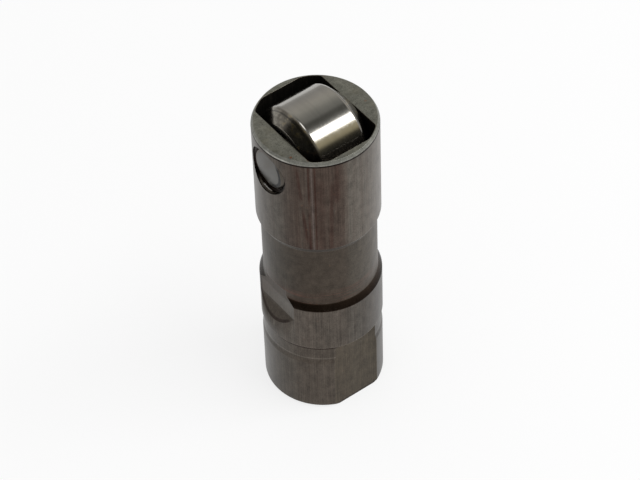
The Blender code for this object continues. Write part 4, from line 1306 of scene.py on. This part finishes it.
def set_lamp(studio):
    """A soft box on the lamp's side, with its long side level."""
    lamp = bpy.data.lights.new("soft_box", "AREA")
    lamp.shape, lamp.energy = "RECTANGLE", studio.lamp
    lamp.size, lamp.size_y = studio.lamp_length, studio.lamp_width
    across = Vector((1, 0, 0))
    across = (across - LAMP_SIDE * across.dot(LAMP_SIDE)).normalized()
    turn = Matrix((across, LAMP_SIDE.cross(across), LAMP_SIDE)).transposed().to_4x4()
    place = Vector((0, 0, BODY_HIGH.z)) + LAMP_SIDE * studio.lamp_distance
    added("soft_box", lamp).matrix_world = Matrix.Translation(place) @ turn


def set_camera(scene, studio):
    """The photograph's view, from above on the body's brown side."""
    camera = bpy.data.cameras.new("camera")
    camera.lens, camera.sensor_width, camera.clip_start = studio.lens, 36.0, 0.01
    scene.camera = added("camera", camera)
    back = towards(studio.azimuth, studio.elevation)
    place = Vector((0, 0, studio.aim)) + back * studio.distance
    turn = back.to_track_quat("Z", "Y").to_matrix().to_4x4()
    tilt = Matrix.Rotation(math.atan2(studio.tilt, studio.distance), 4, "X")
    scene.camera.matrix_world = (Matrix.Translation(place) @ turn
                                 @ Matrix.Rotation(studio.roll, 4, "Z") @ tilt)


class LIFTER_OT_stage(bpy.types.Operator):
    """Set the pale floor, the soft lamp, the sky and the camera"""
    bl_idname = "lifter.stage"
    bl_label = "Stage"

    def execute(self, context):
        scene, studio = context.scene, context.scene.lifter_studio
        scene.view_settings.view_transform = "Standard"
        bm = bmesh.new()
        bmesh.ops.create_grid(bm, x_segments=2, y_segments=2, size=studio.floor_half)
        floor = drafted(bm, "floor")
        floor.data.materials.append(floor_material(studio))
        set_lamp(studio)
        sky(scene, studio)
        set_camera(scene, studio)
        return {"FINISHED"}


class LIFTER_PT_panel(bpy.types.Panel):
    """Lists the lifter's pieces, sizes, colours and studio"""
    bl_idname = "LIFTER_PT_panel"
    bl_label = "Roller valve lifter"
    bl_space_type = "VIEW_3D"
    bl_region_type = "UI"
    bl_category = "Lifter"

    def draw(self, context):
        for operator in OPERATORS:
            self.layout.operator(operator.bl_idname)
        for name in GROUPS:
            group = getattr(context.scene, name)
            box = self.layout.box()
            for key in group.__annotations__:
                box.prop(group, key)


GROUPS = {"lifter_body": BodySizes, "lifter_roller": RollerSizes, "lifter_plunger": PlungerSizes,
          "lifter_steels": SteelColours, "lifter_studio": StudioSettings}
OPERATORS = (LIFTER_OT_body, LIFTER_OT_roller, LIFTER_OT_pin, LIFTER_OT_needles, LIFTER_OT_ring,
             LIFTER_OT_seat, LIFTER_OT_plunger, LIFTER_OT_disc, LIFTER_OT_ball, LIFTER_OT_retainer,
             LIFTER_OT_check_spring, LIFTER_OT_plunger_spring, LIFTER_OT_stage)
CLASSES = (*GROUPS.values(), *OPERATORS, LIFTER_PT_panel)


def register():
    for cls in CLASSES:
        bpy.utils.register_class(cls)
    for name, group in GROUPS.items():
        setattr(bpy.types.Scene, name, PointerProperty(type=group))


def unregister():
    for name in GROUPS:
        delattr(bpy.types.Scene, name)
    for cls in reversed(CLASSES):
        bpy.utils.unregister_class(cls)


def main():
    register()
    bpy.ops.lifter.body()
    bpy.ops.lifter.roller()
    bpy.ops.lifter.pin()
    bpy.ops.lifter.needles()
    bpy.ops.lifter.ring()
    bpy.ops.lifter.seat()
    bpy.ops.lifter.plunger()
    bpy.ops.lifter.disc()
    bpy.ops.lifter.ball()
    bpy.ops.lifter.retainer()
    bpy.ops.lifter.check_spring()
    bpy.ops.lifter.plunger_spring()
    bpy.ops.lifter.stage()


if __name__ == "__main__":
    main()
